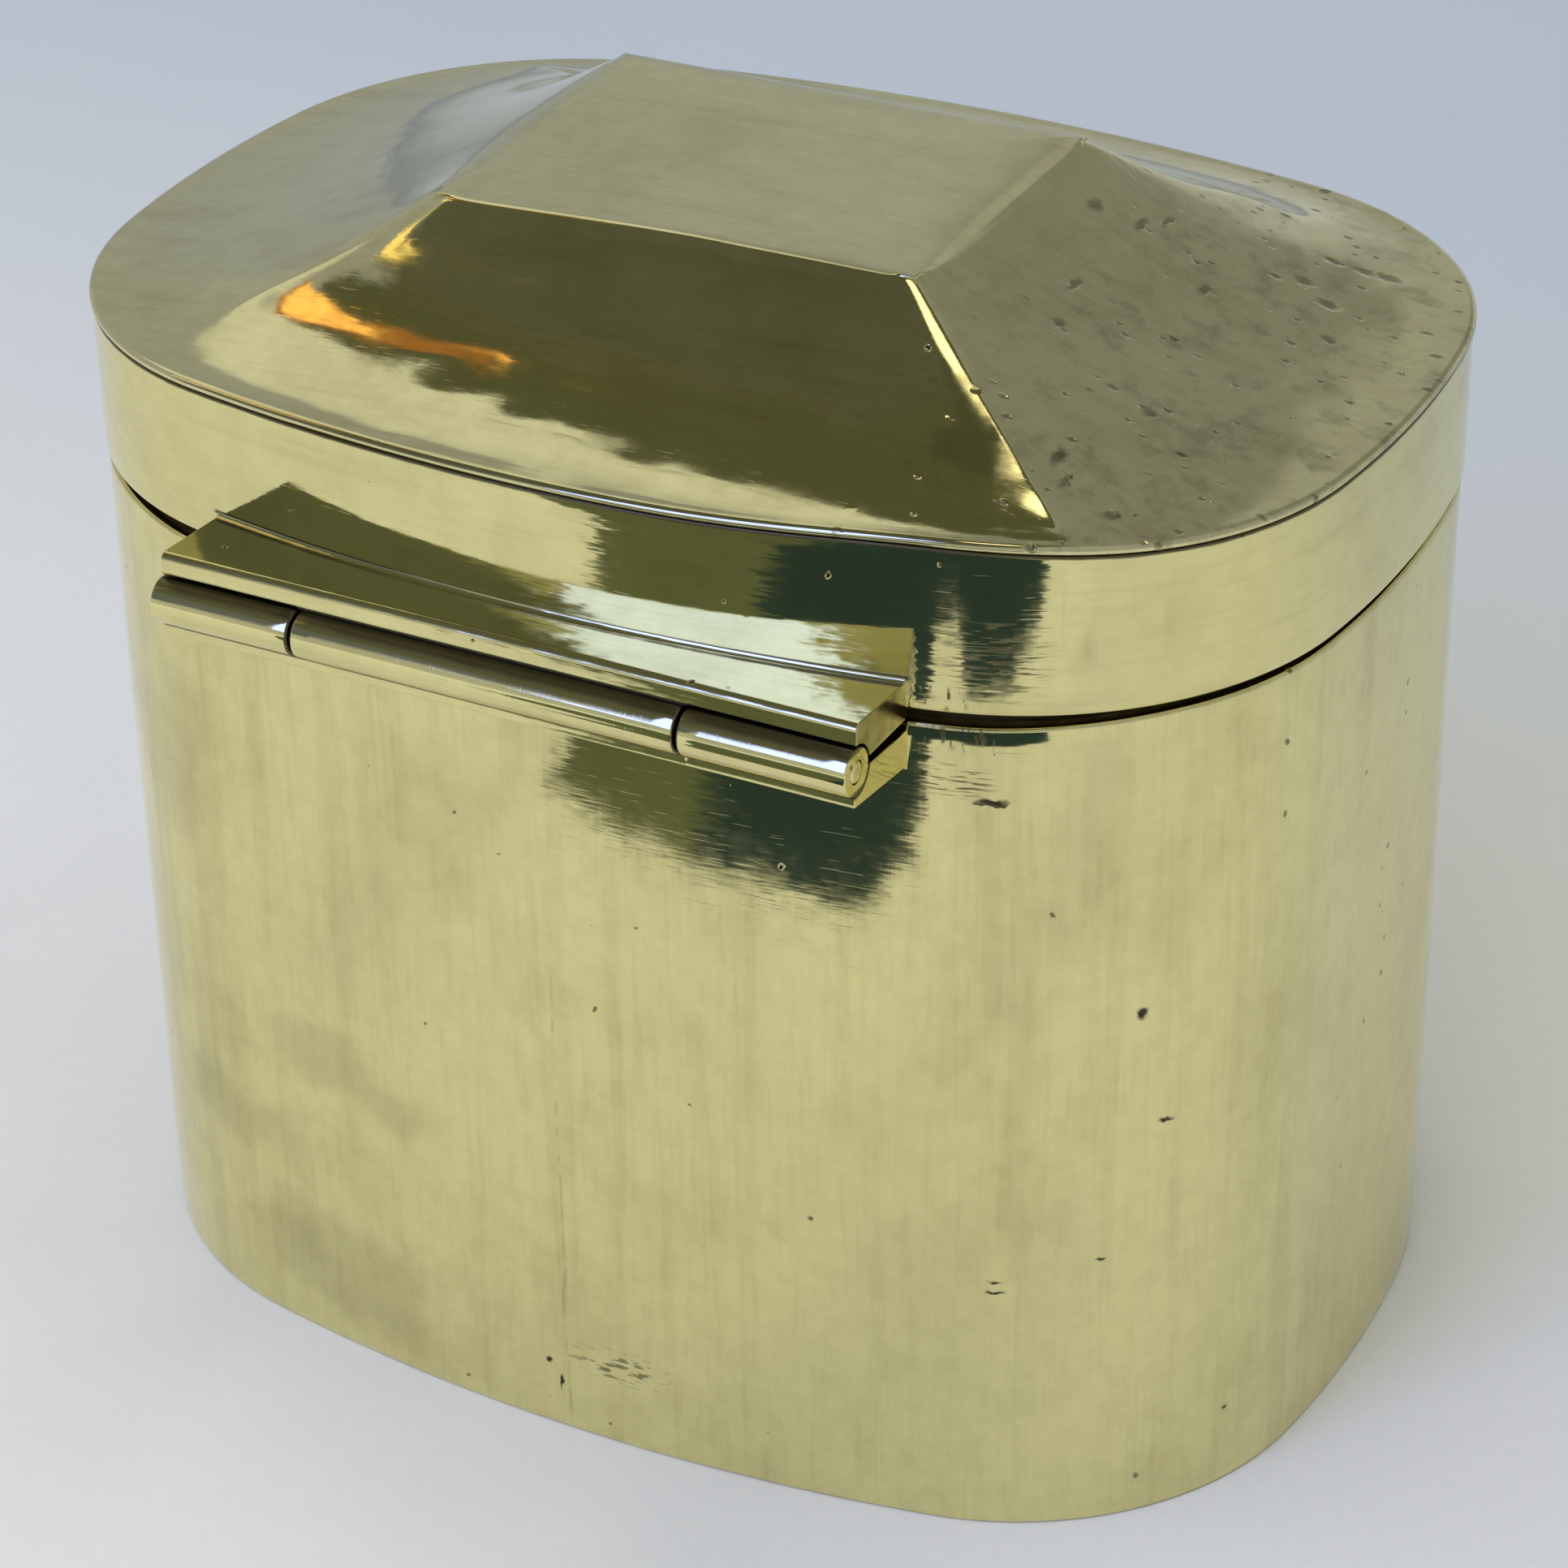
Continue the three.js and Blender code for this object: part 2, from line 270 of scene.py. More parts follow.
def make_base():
    """The base plate, let into the foot of the wall, with a slight dish in its middle."""
    count = 160
    points, normals = plan_points(count)
    edge = points - normals * (SHEET - 0.02)
    top = BASE_HIGH.z
    rings = [(0.985, 0.0), (1.0, BASE_BEVEL), (1.0, top - BASE_BEVEL), (0.985, top)]
    scales = [0.2, 0.45, 0.7, 0.9]
    under = [(s, BASE_DISH * (1 - s * s)) for s in scales]
    upper = [(s, top + BASE_DISH * (1 - s * s)) for s in reversed(scales)]
    levels = under + rings + upper
    vertices = []
    for scale, z in levels:
        for x, y in edge * scale:
            vertices.append((x, y, z + 0.012 * waves(x, y, z, 6, 8) * (0.1 < z < 0.9 or scale < 0.95)))
    faces = grid_faces(len(levels), count, close_rings=False, flip=True)
    faces.append(tuple(reversed(range(count))))
    last = (len(levels) - 1) * count
    faces.append(tuple(range(last, last + count)))
    base = mesh_object("base_sheet", vertices, faces)
    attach(base, "box")
    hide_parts("base_plate")
    return base


def shape_collar(x, y, z, out):
    """The collar leans in a little at its lip, so that the lid finds it."""
    out -= 0.12 * ease(z, WALL_HIGH.z, COLLAR_HIGH.z)
    return out + 0.02 * waves(x, y, z, 9, 5), z


def make_collar():
    outer = -SHEET - 0.03
    inner = -(HALF_LENGTH - COLLAR_HIGH.x) - 0.6
    profile = sheet_profile(inner, outer, COLLAR_LOW.z, COLLAR_HIGH.z, (0.1, 0.2, 0.15, 0.1), (8, 8))
    collar = sweep_plan("mouth_collar", profile, 240, shape_collar)
    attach(collar, "box")
    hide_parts("inner_collar")
    return collar


# ---- lid pieces

PLATE_EDGE = 0.46
BEAD_WIDTH = 0.34
PLATE_OUT = BAND_HIGH.x - HALF_LENGTH + 0.1
SHOULDER_LONG = 0.011
SHOULDER_END = 0.05
CROWDING = 0.4 * math.pi
RIM_LIFT = 0.5
RIM_LIFT_AT = (-18, 20)
RIM_LIFT_SPREAD = 60
CREST = 0.2
CREST_WIDTH = 1.5
FLAT_DIP = 0.55
RIDGE_PASSES = 280
LID_LONG_SPOKES = 170
LID_END_SPOKES = 120
LID_STEPS = 96
LID_FLAT_STEPS = 16


def shape_band(x, y, z, out):
    """Faintly uneven outside, and higher where the rim is."""
    if out > -SHEET / 2:
        out += 0.035 * waves(x, y, z, 13, 11) + 0.007 * waves(x, y, z, 3.5, 12)
    z += rim_lift(x, y) * ease(z, BAND_LOW.z + 2, RIM_Z - 0.5)
    return out, z


def make_band():
    outer = BAND_HIGH.x - HALF_LENGTH
    high = RIM_Z - PLATE_EDGE
    profile = sheet_profile(outer - SHEET, outer, BAND_LOW.z, high, (0.22, 0.08, 0.05, 0.12), (14, 6))
    band = sweep_plan("band_sheet", profile, 360, shape_band)
    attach(band, "lid")
    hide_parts("lid_band")
    return band


def rim_x(y, out):
    """How far along X the outline reaches at y."""
    y = abs(y)
    end = END_RADIUS + out
    if y <= end * math.sin(END_ANGLE):
        return HALF_LENGTH - END_RADIUS + math.sqrt(end ** 2 - y ** 2)
    corner = CORNER_RADIUS + out
    if y <= CORNER_Y + corner * math.sin(LONG_ANGLE):
        return CORNER_X + math.sqrt(max(0.0, corner ** 2 - (y - CORNER_Y) ** 2))
    long = LONG_SIDE_RADIUS + out
    return math.sqrt(max(0.0, long ** 2 - (y - HALF_DEPTH + LONG_SIDE_RADIUS) ** 2))


def rim_y(x, out):
    """How far along Y the outline reaches at x, all the way to the ends."""
    x = abs(x)
    corner = CORNER_RADIUS + out
    if x <= CORNER_X + corner * math.cos(END_ANGLE):
        return wall_y(x, out)
    end = END_RADIUS + out
    return math.sqrt(max(0.0, end ** 2 - (x - HALF_LENGTH + END_RADIUS) ** 2))


def ring_smooth(values, passes):
    """Round off a closed ring of points by repeated averaging with the neighbours."""
    for _ in range(passes):
        values = (np.roll(values, 1, axis=0) + 2 * values + np.roll(values, -1, axis=0)) / 4
    return values


def lid_spokes(out):
    """Matching points round the flat top and round the rim, anticlockwise from the front left
    ridge, and how crisply each slope breaks from the flat top."""
    ridge_y = rim_y(RIDGE_END_X, out)
    flat, rim, crisp = [], [], []

    def shares(count):
        """From -1 to 1, crowded towards both ends."""
        return [math.sin((2 * i / count - 1) * CROWDING) / math.sin(CROWDING) for i in range(count)]

    def long_slope(side):
        for share in shares(LID_LONG_SPOKES):
            x = -side * share * RIDGE_END_X
            flat.append((-side * share * PLATEAU_HALF_LENGTH, side * PLATEAU_HALF_DEPTH + PLATEAU_SHIFT_Y))
            rim.append((x, side * rim_y(x, out)))
            crisp.append(SHOULDER_LONG if side > 0 else SHOULDER_END)

    def end_slope(side):
        for share in shares(LID_END_SPOKES):
            y = side * share * ridge_y
            flat.append((side * PLATEAU_HALF_LENGTH, side * share * PLATEAU_HALF_DEPTH + PLATEAU_SHIFT_Y))
            rim.append((side * rim_x(y, out), y))
            near_hinge = ease(side * share, 0.4, 1.0)
            crisp.append(SHOULDER_END - (SHOULDER_END - SHOULDER_LONG) * near_hinge)

    long_slope(-1)
    end_slope(1)
    long_slope(1)
    end_slope(-1)
    return np.array(flat), np.array(rim), ring_smooth(np.array(crisp), 200)


def rim_lift(x, y):
    """The rim was left slightly high round the -X end of the hinge side."""
    away = (x - RIM_LIFT_AT[0]) ** 2 + (y - RIM_LIFT_AT[1]) ** 2
    return RIM_LIFT * math.exp(-away / RIM_LIFT_SPREAD)


def sweep_at(x, y):
    """How hollow the slope is below a point of the flat top: least by the -X hinge-side corner."""
    return SWEEP - 0.5 * ease(x, 2, -PLATEAU_HALF_LENGTH) * ease(y, 0, 9)


def crest(x, y, level):
    """A slight fold that keeps the hinge-side ridges crisp as they near the rim."""
    height = 0.0
    for side, far in ((-1, 1.0), (1, 0.72)):
        ax, ay = side * PLATEAU_HALF_LENGTH, PLATEAU_HALF_DEPTH + PLATEAU_SHIFT_Y
        bx, by = side * RIDGE_END_X, rim_y(RIDGE_END_X, 0)
        away = abs((bx - ax) * (y - ay) - (by - ay) * (x - ax)) / math.hypot(bx - ax, by - ay)
        along = ease(level, 0.1, 0.6) * ease(level, far, far - 0.22)
        height += CREST * math.exp(-away / CREST_WIDTH) * along
    return height


def flat_height(x, y):
    """The flat top dips slightly towards its +X hinge-side corner."""
    return PLATEAU_Z - 0.06 - FLAT_DIP * ease(x, -2, 12.5) * ease(y, -5, 10)


def hammer_marks(x, y):
    """Unevenness of the lid's upper skin, in millimetres."""
    height = 0.05 * waves(x, y, 0, 11, 21) + 0.012 * waves(x, y, 0, 4.2, 22)
    near_back_rim = ease(y, 11, 17) * ease(x, -17, -10)
    height += 0.020 * near_back_rim * waves(x * 0.7, y * 1.5, 0, 2.1, 23)
    at_left_end = ease(-x, 12, 18)
    height += 0.030 * at_left_end * waves(x, y, 0, 2.4, 24)
    return height


def lid_skin(flat, rim, crisp, drop=0.0, steps=LID_STEPS, worked=True):
    """Rings of one skin of the lid's plate, from the middle of the flat top out to the rim.

    Levels below 0 are on the flat top, and levels from 0 to 1 run down the slopes."""
    centre = np.array((0.0, PLATEAU_SHIFT_Y))
    rings = []
    inner = [-(1 - i / LID_FLAT_STEPS) ** 1.6 for i in range(1, LID_FLAT_STEPS)]
    outer = [(i / steps) ** 1.35 for i in range(0, steps + 1)]
    for level in inner + outer:
        if level < 0:
            points = centre + (flat - centre) * (1 + level)
        else:
            points = flat + (rim - flat) * level
            points = ring_smooth(points, 2 + int(RIDGE_PASSES * (1 - level) ** 2))
        ring = []
        for (x, y), (fx, fy), (rx, ry), soft in zip(points, flat, rim, crisp):
            rounded = (level + math.sqrt(level ** 2 + soft ** 2)) / 2
            rounded = min(1.0, rounded - soft ** 2 / 4 * max(0.0, level))
            lift = rim_lift(rx, ry) * ease(level, 0.2, 1.0) * level
            height = flat_height(x, y) if level < 0 else flat_height(fx, fy)
            z = RIM_Z + (height - RIM_Z) * (1 - rounded) ** sweep_at(fx, fy) + lift - drop
            if worked:
                z += hammer_marks(x, y) * (1 - ease(level, 0.97, 1.0)) + crest(x, y, level)
            ring.append((x, y, z))
        rings.append(ring)
    return rings


def make_lid_top():
    """The raised plate: an upper skin, a rounded edge, and an under skin."""
    radius = PLATE_EDGE / 2
    flat, rim, crisp = lid_spokes(PLATE_OUT - BEAD_WIDTH)
    normals = np.roll(rim, -1, axis=0) - np.roll(rim, 1, axis=0)
    normals = np.stack((normals[:, 1], -normals[:, 0]), axis=1)
    normals /= np.linalg.norm(normals, axis=1)[:, None]
    count = len(flat)
    rings = lid_skin(flat, rim, crisp)
    for angle in (65, 40, 15, -10, -35, -60, -90):
        a = math.radians(angle)
        rings.append([
            (x + nx * BEAD_WIDTH * math.cos(a), y + ny * BEAD_WIDTH * math.cos(a),
             RIM_Z + rim_lift(x, y) - radius + radius * math.sin(a))
            for (x, y), (nx, ny) in zip(rim, normals)
        ])
    under_rim = rim - normals * (SHEET - BEAD_WIDTH + 0.1)
    rings += reversed(lid_skin(flat * 0.97, under_rim, crisp * 2, SHEET, 24, False))
    vertices = [vertex for ring in rings for vertex in ring]
    faces = grid_faces(len(rings), count, close_rings=False)
    for start in (0, (len(rings) - 1) * count):
        middle = np.mean(vertices[start:start + count], axis=0)
        vertices.append(tuple(middle))
        faces += [(len(vertices) - 1, start + i, start + (i + 1) % count) for i in range(count)]
    plate = mesh_object("lid_plate", vertices, faces)
    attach(plate, "lid")
    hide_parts("lid_top")
    return plate


# ---- hinge pieces

TROUGH_CLEAR = 0.1
TROUGH_SOLDERED = -0.015
BAR_STATIONS = 84
BAR_BACK_Z = 42.65
BAR_EDGE = 0.36
BAR_FILLET = 0.24
LEDGE_FRONT_Z = 39.3
LEDGE_BACK_Z = 38.85
LEDGE_LIP = 0.08
LEDGE_FILLET = 0.2
ROOT_DEPTH = 0.12


def x_stations():
    """Places along the hinge, closer together where the knuckles meet."""
    places = {round(-HINGE_END + 2 * HINGE_END * i / BAR_STATIONS, 3) for i in range(BAR_STATIONS + 1)}
    for joint in KNUCKLE_JOINTS:
        places |= {round(joint - 0.03, 3), round(joint + 0.03, 3)}
    return sorted(places)


def on_body_knuckle(x):
    return x <= LEFT_HIGH.x or x >= RIGHT_LOW.x


def loft_sections(name, stations, section):
    """Closed solid from a (y, z) section at each station along X, with flat ends."""
    vertices = []
    for x in stations:
        outline = section(x)
        vertices += [(x, y, z) for y, z in outline]
    points = len(outline)
    faces = grid_faces(len(stations), points, close_rings=False)
    faces.append(tuple(range(points)))
    last = (len(stations) - 1) * points
    faces.append(tuple(range(last + points - 1, last - 1, -1)))
    return mesh_object(name, vertices, faces, sharp=38)


def soften_edges(piece, width, segments=3):
    bevel = piece.modifiers.new("edges", "BEVEL")
    bevel.width = width * MM
    bevel.segments = segments
    bevel.limit_method = "ANGLE"
    bevel.angle_limit = math.radians(38)
    bevel.harden_normals = True
    bevel.use_clamp_overlap = True


def bar_section(x):
    """Upper bar: sits on the knuckles, flat on top, with a small solder fillet up the band."""
    trough = KNUCKLE_RADIUS + (TROUGH_CLEAR if on_body_knuckle(x) else TROUGH_SOLDERED)
    band = wall_y(x, BAND_HIGH.x - HALF_LENGTH)
    root = band - ROOT_DEPTH
    front, top, bottom = BAR_HIGH.y, BAR_HIGH.z, BAR_LOW.z
    slope = (top - BAR_BACK_Z) / (front - (HALF_DEPTH - 4))
    low_angle = math.degrees(math.asin((bottom - AXIS_Z) / trough))
    section = [(root, bottom)]
    section += arc_points(AXIS_Y, AXIS_Z, trough, 180 - low_angle, 90, 10)
    section += arc_points(front - BAR_EDGE, top - BAR_EDGE, BAR_EDGE, 0, 90, 5)
    foot = band + BAR_FILLET
    section.append((foot + 0.15, top - slope * (front - foot - 0.15)))
    base_z = top - slope * (front - foot)
    section += [
        (foot - BAR_FILLET * math.sin(a), base_z + BAR_FILLET * (1 - math.cos(a)))
        for a in (math.radians(d) for d in (0, 25, 50, 75, 90))
    ]
    section.append((root, base_z + BAR_FILLET))
    wobble = 0.012 * waves(x, 0, 0, 5, 31)
    return [(y + wobble * (y > band + 0.1), z + wobble) for y, z in section]


def ledge_section(x):
    """Lower bar: a shelf behind and under the knuckles that ends in a thin lip."""
    trough = KNUCKLE_RADIUS + (TROUGH_SOLDERED if on_body_knuckle(x) else TROUGH_CLEAR)
    wall = wall_y(x)
    root = wall - ROOT_DEPTH
    front, top = LEDGE_HIGH.y, LEDGE_HIGH.z
    fillet_z = LEDGE_BACK_Z - LEDGE_FILLET
    lip_angle = -math.degrees(math.acos(min(1.0, (front - AXIS_Y - 0.05) / trough)))
    back_angle = 180 + math.degrees(math.asin((AXIS_Z - top) / trough))
    section = [(root, fillet_z), (wall, fillet_z)]
    section += [
        (wall + LEDGE_FILLET * (1 - math.cos(a)), LEDGE_BACK_Z - LEDGE_FILLET * (1 - math.sin(a)))
        for a in (math.radians(d) for d in (20, 45, 70, 90))
    ]
    section += arc_points(front - LEDGE_LIP, LEDGE_FRONT_Z + LEDGE_LIP, LEDGE_LIP, -90, 0, 3)
    section += arc_points(AXIS_Y, AXIS_Z, trough, lip_angle, back_angle - 360, 14)
    section.append((root, top - 0.2))
    wobble = 0.010 * waves(x, 0, 0, 5, 32)
    return [(y + wobble * (y > wall + 0.3), z) for y, z in section]


def make_bar():
    bar = loft_sections("upper_hinge_bar", x_stations(), bar_section)
    soften_edges(bar, 0.07)
    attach(bar, "lid")
    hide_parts("lid_hinge_bar")
    return bar


def make_ledge():
    ledge = loft_sections("lower_hinge_bar", x_stations(), ledge_section)
    soften_edges(ledge, 0.05)
    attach(ledge, "box")
    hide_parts("body_hinge_ledge")
    return ledge


TURNED_SEGMENTS = 72


def turned(name, profile, seed):
    """A turned piece on the hinge axis, from (x, radius) points; it closes on the axis if it
    starts and ends there, and on itself if not."""
    segments = TURNED_SEGMENTS
    vertices = []
    for x, radius in profile:
        for i in range(segments):
            a = 2 * math.pi * i / segments
            r = radius + 0.006 * waves(x, math.cos(a) * 2, math.sin(a) * 2, 2.5, seed) * (radius > 0.8)
            vertices.append((x, AXIS_Y + r * math.cos(a), AXIS_Z + r * math.sin(a)))
    count = len(profile)
    if profile[0][1] == profile[-1][1] and profile[0][1] < 0.02:
        faces = grid_faces(count, segments, close_rings=False, flip=True)
        faces.append(tuple(range(segments)))
        last = (count - 1) * segments
        faces.append(tuple(range(last + segments - 1, last - 1, -1)))
        return mesh_object(name, vertices, faces)
    return mesh_object(name, vertices, grid_faces(count, segments, flip=True), sharp=50)


EDGE_ANGLES = [math.radians(d) for d in (0, 22, 45, 68, 90)]
BORE_GAP = 0.03


def knuckle_profile(low, high, round_low, round_high):
    """A tube with rounded outer edges."""
    bore = PIN_RADIUS + BORE_GAP
    radius = KNUCKLE_RADIUS
    profile = [(low, bore)]
    profile += [(low + round_low * (1 - math.cos(a)), radius - round_low * (1 - math.sin(a)))
                for a in EDGE_ANGLES]
    steps = max(2, int((high - low) / 0.9))
    start, end = low + round_low, high - round_high
    profile += [(start + (end - start) * i / steps, radius) for i in range(1, steps)]
    profile += [(high - round_high * (1 - math.sin(a)), radius - round_high * (1 - math.cos(a)))
                for a in EDGE_ANGLES]
    profile.append((high, bore))
    return profile


def make_knuckles():
    """Three tubes on one pin; the outer two reach a little towards the middle one.

    The last three numbers of a row are the roundings of the tube's ends and its random seed."""
    left_end, right_end = LEFT_HIGH.x + 0.05, RIGHT_LOW.x - 0.05
    rows = (
        ("knuckle_left", "body_knuckle_left", "box", LEFT_LOW.x, left_end, 0.06, 0.12, 41),
        ("knuckle_middle", "lid_knuckle", "lid", MIDDLE_LOW.x, MIDDLE_HIGH.x, 0.10, 0.10, 42),
        ("knuckle_right", "body_knuckle_right", "box", right_end, RIGHT_HIGH.x, 0.12, 0.06, 43),
    )
    pieces = []
    for name, node, body, low, high, round_low, round_high, seed in rows:
        knuckle = turned(name, knuckle_profile(low, high, round_low, round_high), seed)
        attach(knuckle, body)
        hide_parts(node)
        pieces.append(knuckle)
    return pieces


def make_pin():
    """The pin, with ends filed almost flush and slightly domed."""
    end = HINGE_END + 0.03
    tip = [(0.0, 0.01), (0.0, 0.2), (0.012, 0.36), (0.04, 0.45), (0.09, PIN_RADIUS)]
    profile = [(-end + x, r) for x, r in tip]
    profile += [(end - x, r) for x, r in reversed(tip)]
    pin = turned("pin_wire", profile, 44)
    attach(pin, "box")
    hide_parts("hinge_pin")
    return pin


# ---- stage

FLOOR_REACH = 1.6
CAMERA_AZIMUTH = 208.18
CAMERA_ELEVATION = 30.59
CAMERA_ROLL = -0.936
CAMERA_DISTANCE = 0.21384
CAMERA_TARGET = Vector((-1.14, 2.114, 24.37)) * MM
CAMERA_LENS = 105.68


def make_floor(material):
    mesh = bpy.data.meshes.new("floor")
    corners = [(x * FLOOR_REACH, y * FLOOR_REACH, 0) for x, y in ((-1, -1), (1, -1), (1, 1), (-1, 1))]
    mesh.from_pydata(corners, [], [(0, 1, 2, 3)])
    floor = bpy.data.objects.new("floor", mesh)
    bpy.context.scene.collection.objects.link(floor)
    floor.data.materials.append(material)


def make_camera():
    azimuth, elevation = math.radians(CAMERA_AZIMUTH), math.radians(CAMERA_ELEVATION)
    roll = math.radians(CAMERA_ROLL)
    back = Vector((math.sin(azimuth) * math.cos(elevation),
                   -math.cos(azimuth) * math.cos(elevation), math.sin(elevation)))
    right = Vector((0, 0, 1)).cross(back).normalized()
    up = back.cross(right)
    tilted_right = right * math.cos(roll) + up * math.sin(roll)
    tilted_up = up * math.cos(roll) - right * math.sin(roll)
    data = bpy.data.cameras.new("camera")
    data.lens = CAMERA_LENS
    data.sensor_width = 36
    data.clip_start = 0.005
    camera = bpy.data.objects.new("camera", data)
    turn = Matrix((tilted_right, tilted_up, back)).transposed()
    camera.matrix_world = Matrix.Translation(CAMERA_TARGET + back * CAMERA_DISTANCE) @ turn.to_4x4()
    bpy.context.scene.collection.objects.link(camera)
    bpy.context.scene.camera = camera


# ---- node helpers

class Nodes:
    """Short ways to add and join shader nodes in one tree."""

    def __init__(self, tree):
        self.tree = tree

    def add(self, kind, inputs=(), **settings):
        node = self.tree.nodes.new(kind)
        for key, value in settings.items():
            setattr(node, key, value)
        for key, value in dict(inputs).items():
            self.put(node.inputs[key], value)
        return node

    def put(self, socket, value):
        if isinstance(value, bpy.types.NodeSocket):
            self.tree.links.new(value, socket)
        elif isinstance(value, tuple) and len(value) == 3 and socket.type == "RGBA":
            socket.default_value = (*value, 1)
        else:
            socket.default_value = value

    def surface(self, shader, kind="Material"):
        out = self.add("ShaderNodeOutput" + kind)
        self.tree.links.new(shader.outputs[0], out.inputs["Surface"])

    def math(self, operation, a, b=0.0, clamp=False):
        node = self.add("ShaderNodeMath", {0: a, 1: b}, operation=operation, use_clamp=clamp)
        return node.outputs[0]

    def plus(self, a, b):
        return self.math("ADD", a, b)

    def minus(self, a, b):
        return self.math("SUBTRACT", a, b)

    def times(self, a, b):
        return self.math("MULTIPLY", a, b)

    def most(self, a, b):
        return self.math("MAXIMUM", a, b)

    def vector(self, operation, a, b):
        return self.add("ShaderNodeVectorMath", {0: a, 1: b}, operation=operation).outputs[0]

    def dot(self, a, b):
        node = self.add("ShaderNodeVectorMath", {0: a, 1: b}, operation="DOT_PRODUCT")
        return node.outputs["Value"]

    def split(self, vector):
        return tuple(self.add("ShaderNodeSeparateXYZ", {0: vector}).outputs)

    def place(self):
        """Where the shaded point lies on its object, in millimetres."""
        return self.scaled(self.add("ShaderNodeTexCoord").outputs["Object"], (1 / MM, 1 / MM, 1 / MM))

    def ramp(self, value, low, high, to_low=0.0, to_high=1.0):
        node = self.add("ShaderNodeMapRange", {"Value": value, "From Min": low, "From Max": high,
                                               "To Min": to_low, "To Max": to_high},
                        interpolation_type="SMOOTHSTEP")
        return node.outputs["Result"]

    def mix(self, share, a, b):
        node = self.add("ShaderNodeMix", {"Factor": share, 6: a, 7: b}, data_type="RGBA")
        return node.outputs[2]

    def scaled(self, vector, scale, turn=(0.0, 0.0, 0.0)):
        inputs = {"Vector": vector, "Scale": scale, "Rotation": turn}
        return self.add("ShaderNodeMapping", inputs).outputs[0]

    def noise(self, vector, scale, detail=2.0, roughness=0.5):
        node = self.add("ShaderNodeTexNoise", {"Vector": vector, "Scale": scale, "Detail": detail,
                                               "Roughness": roughness})
        return node.outputs["Fac"]

    def shake(self, vector, scale, detail):
        """A random vector at each point, each part of it from about -0.5 to 0.5."""
        cloud = self.add("ShaderNodeTexNoise", {"Vector": vector, "Scale": scale, "Detail": detail})
        return self.vector("SUBTRACT", cloud.outputs["Color"], (0.5, 0.5, 0.5))

    def shaken(self, vector, size, reach, detail=2.0):
        """The vector moved about by up to half of `reach`, so that shapes placed by it are uneven."""
        shift = self.add("ShaderNodeVectorMath", {0: self.shake(vector, size, detail), 3: reach},
                         operation="SCALE").outputs[0]
        return self.vector("ADD", vector, shift)

    def spots(self, vector, scale, radius, share):
        """Scattered soft round spots: `share` of the cells have one, of about `radius` cells."""
        cells = self.add("ShaderNodeTexVoronoi", {"Vector": vector, "Scale": scale})
        pick = self.add("ShaderNodeSeparateColor", {"Color": cells.outputs["Color"]})
        there = self.math("LESS_THAN", pick.outputs[0], share)
        size = self.times(self.plus(pick.outputs[1], 0.35), radius)
        depth = self.math("DIVIDE", cells.outputs["Distance"], size)
        return self.times(self.ramp(depth, 1.0, 0.4), there)

    def near(self, point, centre, reach, soft):
        """1 within an ellipsoid of half sizes `reach` round `centre`, fading to 0 at its edge."""
        sized = self.vector("DIVIDE", self.vector("SUBTRACT", point, centre), reach)
        length = self.add("ShaderNodeVectorMath", {0: sized}, operation="LENGTH")
        return self.ramp(length.outputs["Value"], 1.0, 1.0 - soft)

    def marks(self, point, places):
        """Strongest of several small marks, each a centre and half sizes in millimetres."""
        strongest = 0.0
        for centre, reach in places:
            strongest = self.most(strongest, self.near(point, centre, reach, 0.7))
        return strongest

    def reflection_teeth(self, point, centre, reach, grain):
        """A patch of short dark streaks, painted as the edge of a dark reflection torn by scratches; grain
        is how densely they run along X, Y and Z.
        """
        lines = self.ramp(self.noise(self.scaled(point, grain), 3.4, 2), 0.53, 0.60)
        return self.times(self.near(point, centre, reach, 0.8), lines)

    def drips(self, point, centre, reach, grain):
        """A patch of faint upright streaks of staining below an edge."""
        lines = self.ramp(self.noise(self.scaled(point, (1.0, 1.0, grain)), 0.9, 2), 0.5, 0.66)
        return self.times(self.near(point, centre, reach, 0.8), lines)


def new_material(name):
    material = bpy.data.materials.new(name)
    material.use_nodes = True
    material.node_tree.nodes.clear()
    return material, Nodes(material.node_tree)


# ---- brass

WALL_BRASS = (0.80, 0.735, 0.345)
LID_BRASS = (0.77, 0.715, 0.385)
PIN_BRASS = (0.82, 0.76, 0.42)
BASE_BRASS = (0.66, 0.60, 0.30)
INSIDE_BRASS = (0.60, 0.52, 0.25)
DARK_BRASS = (0.36, 0.30, 0.12)
BRIGHT_BRASS = (0.93, 0.90, 0.66)
# Brown of pits; the pieces' extra dark masks also mix it in as painted shade and painted reflections.
PIT_AND_PAINTED_SHADE_BROWN = (0.07, 0.055, 0.03)


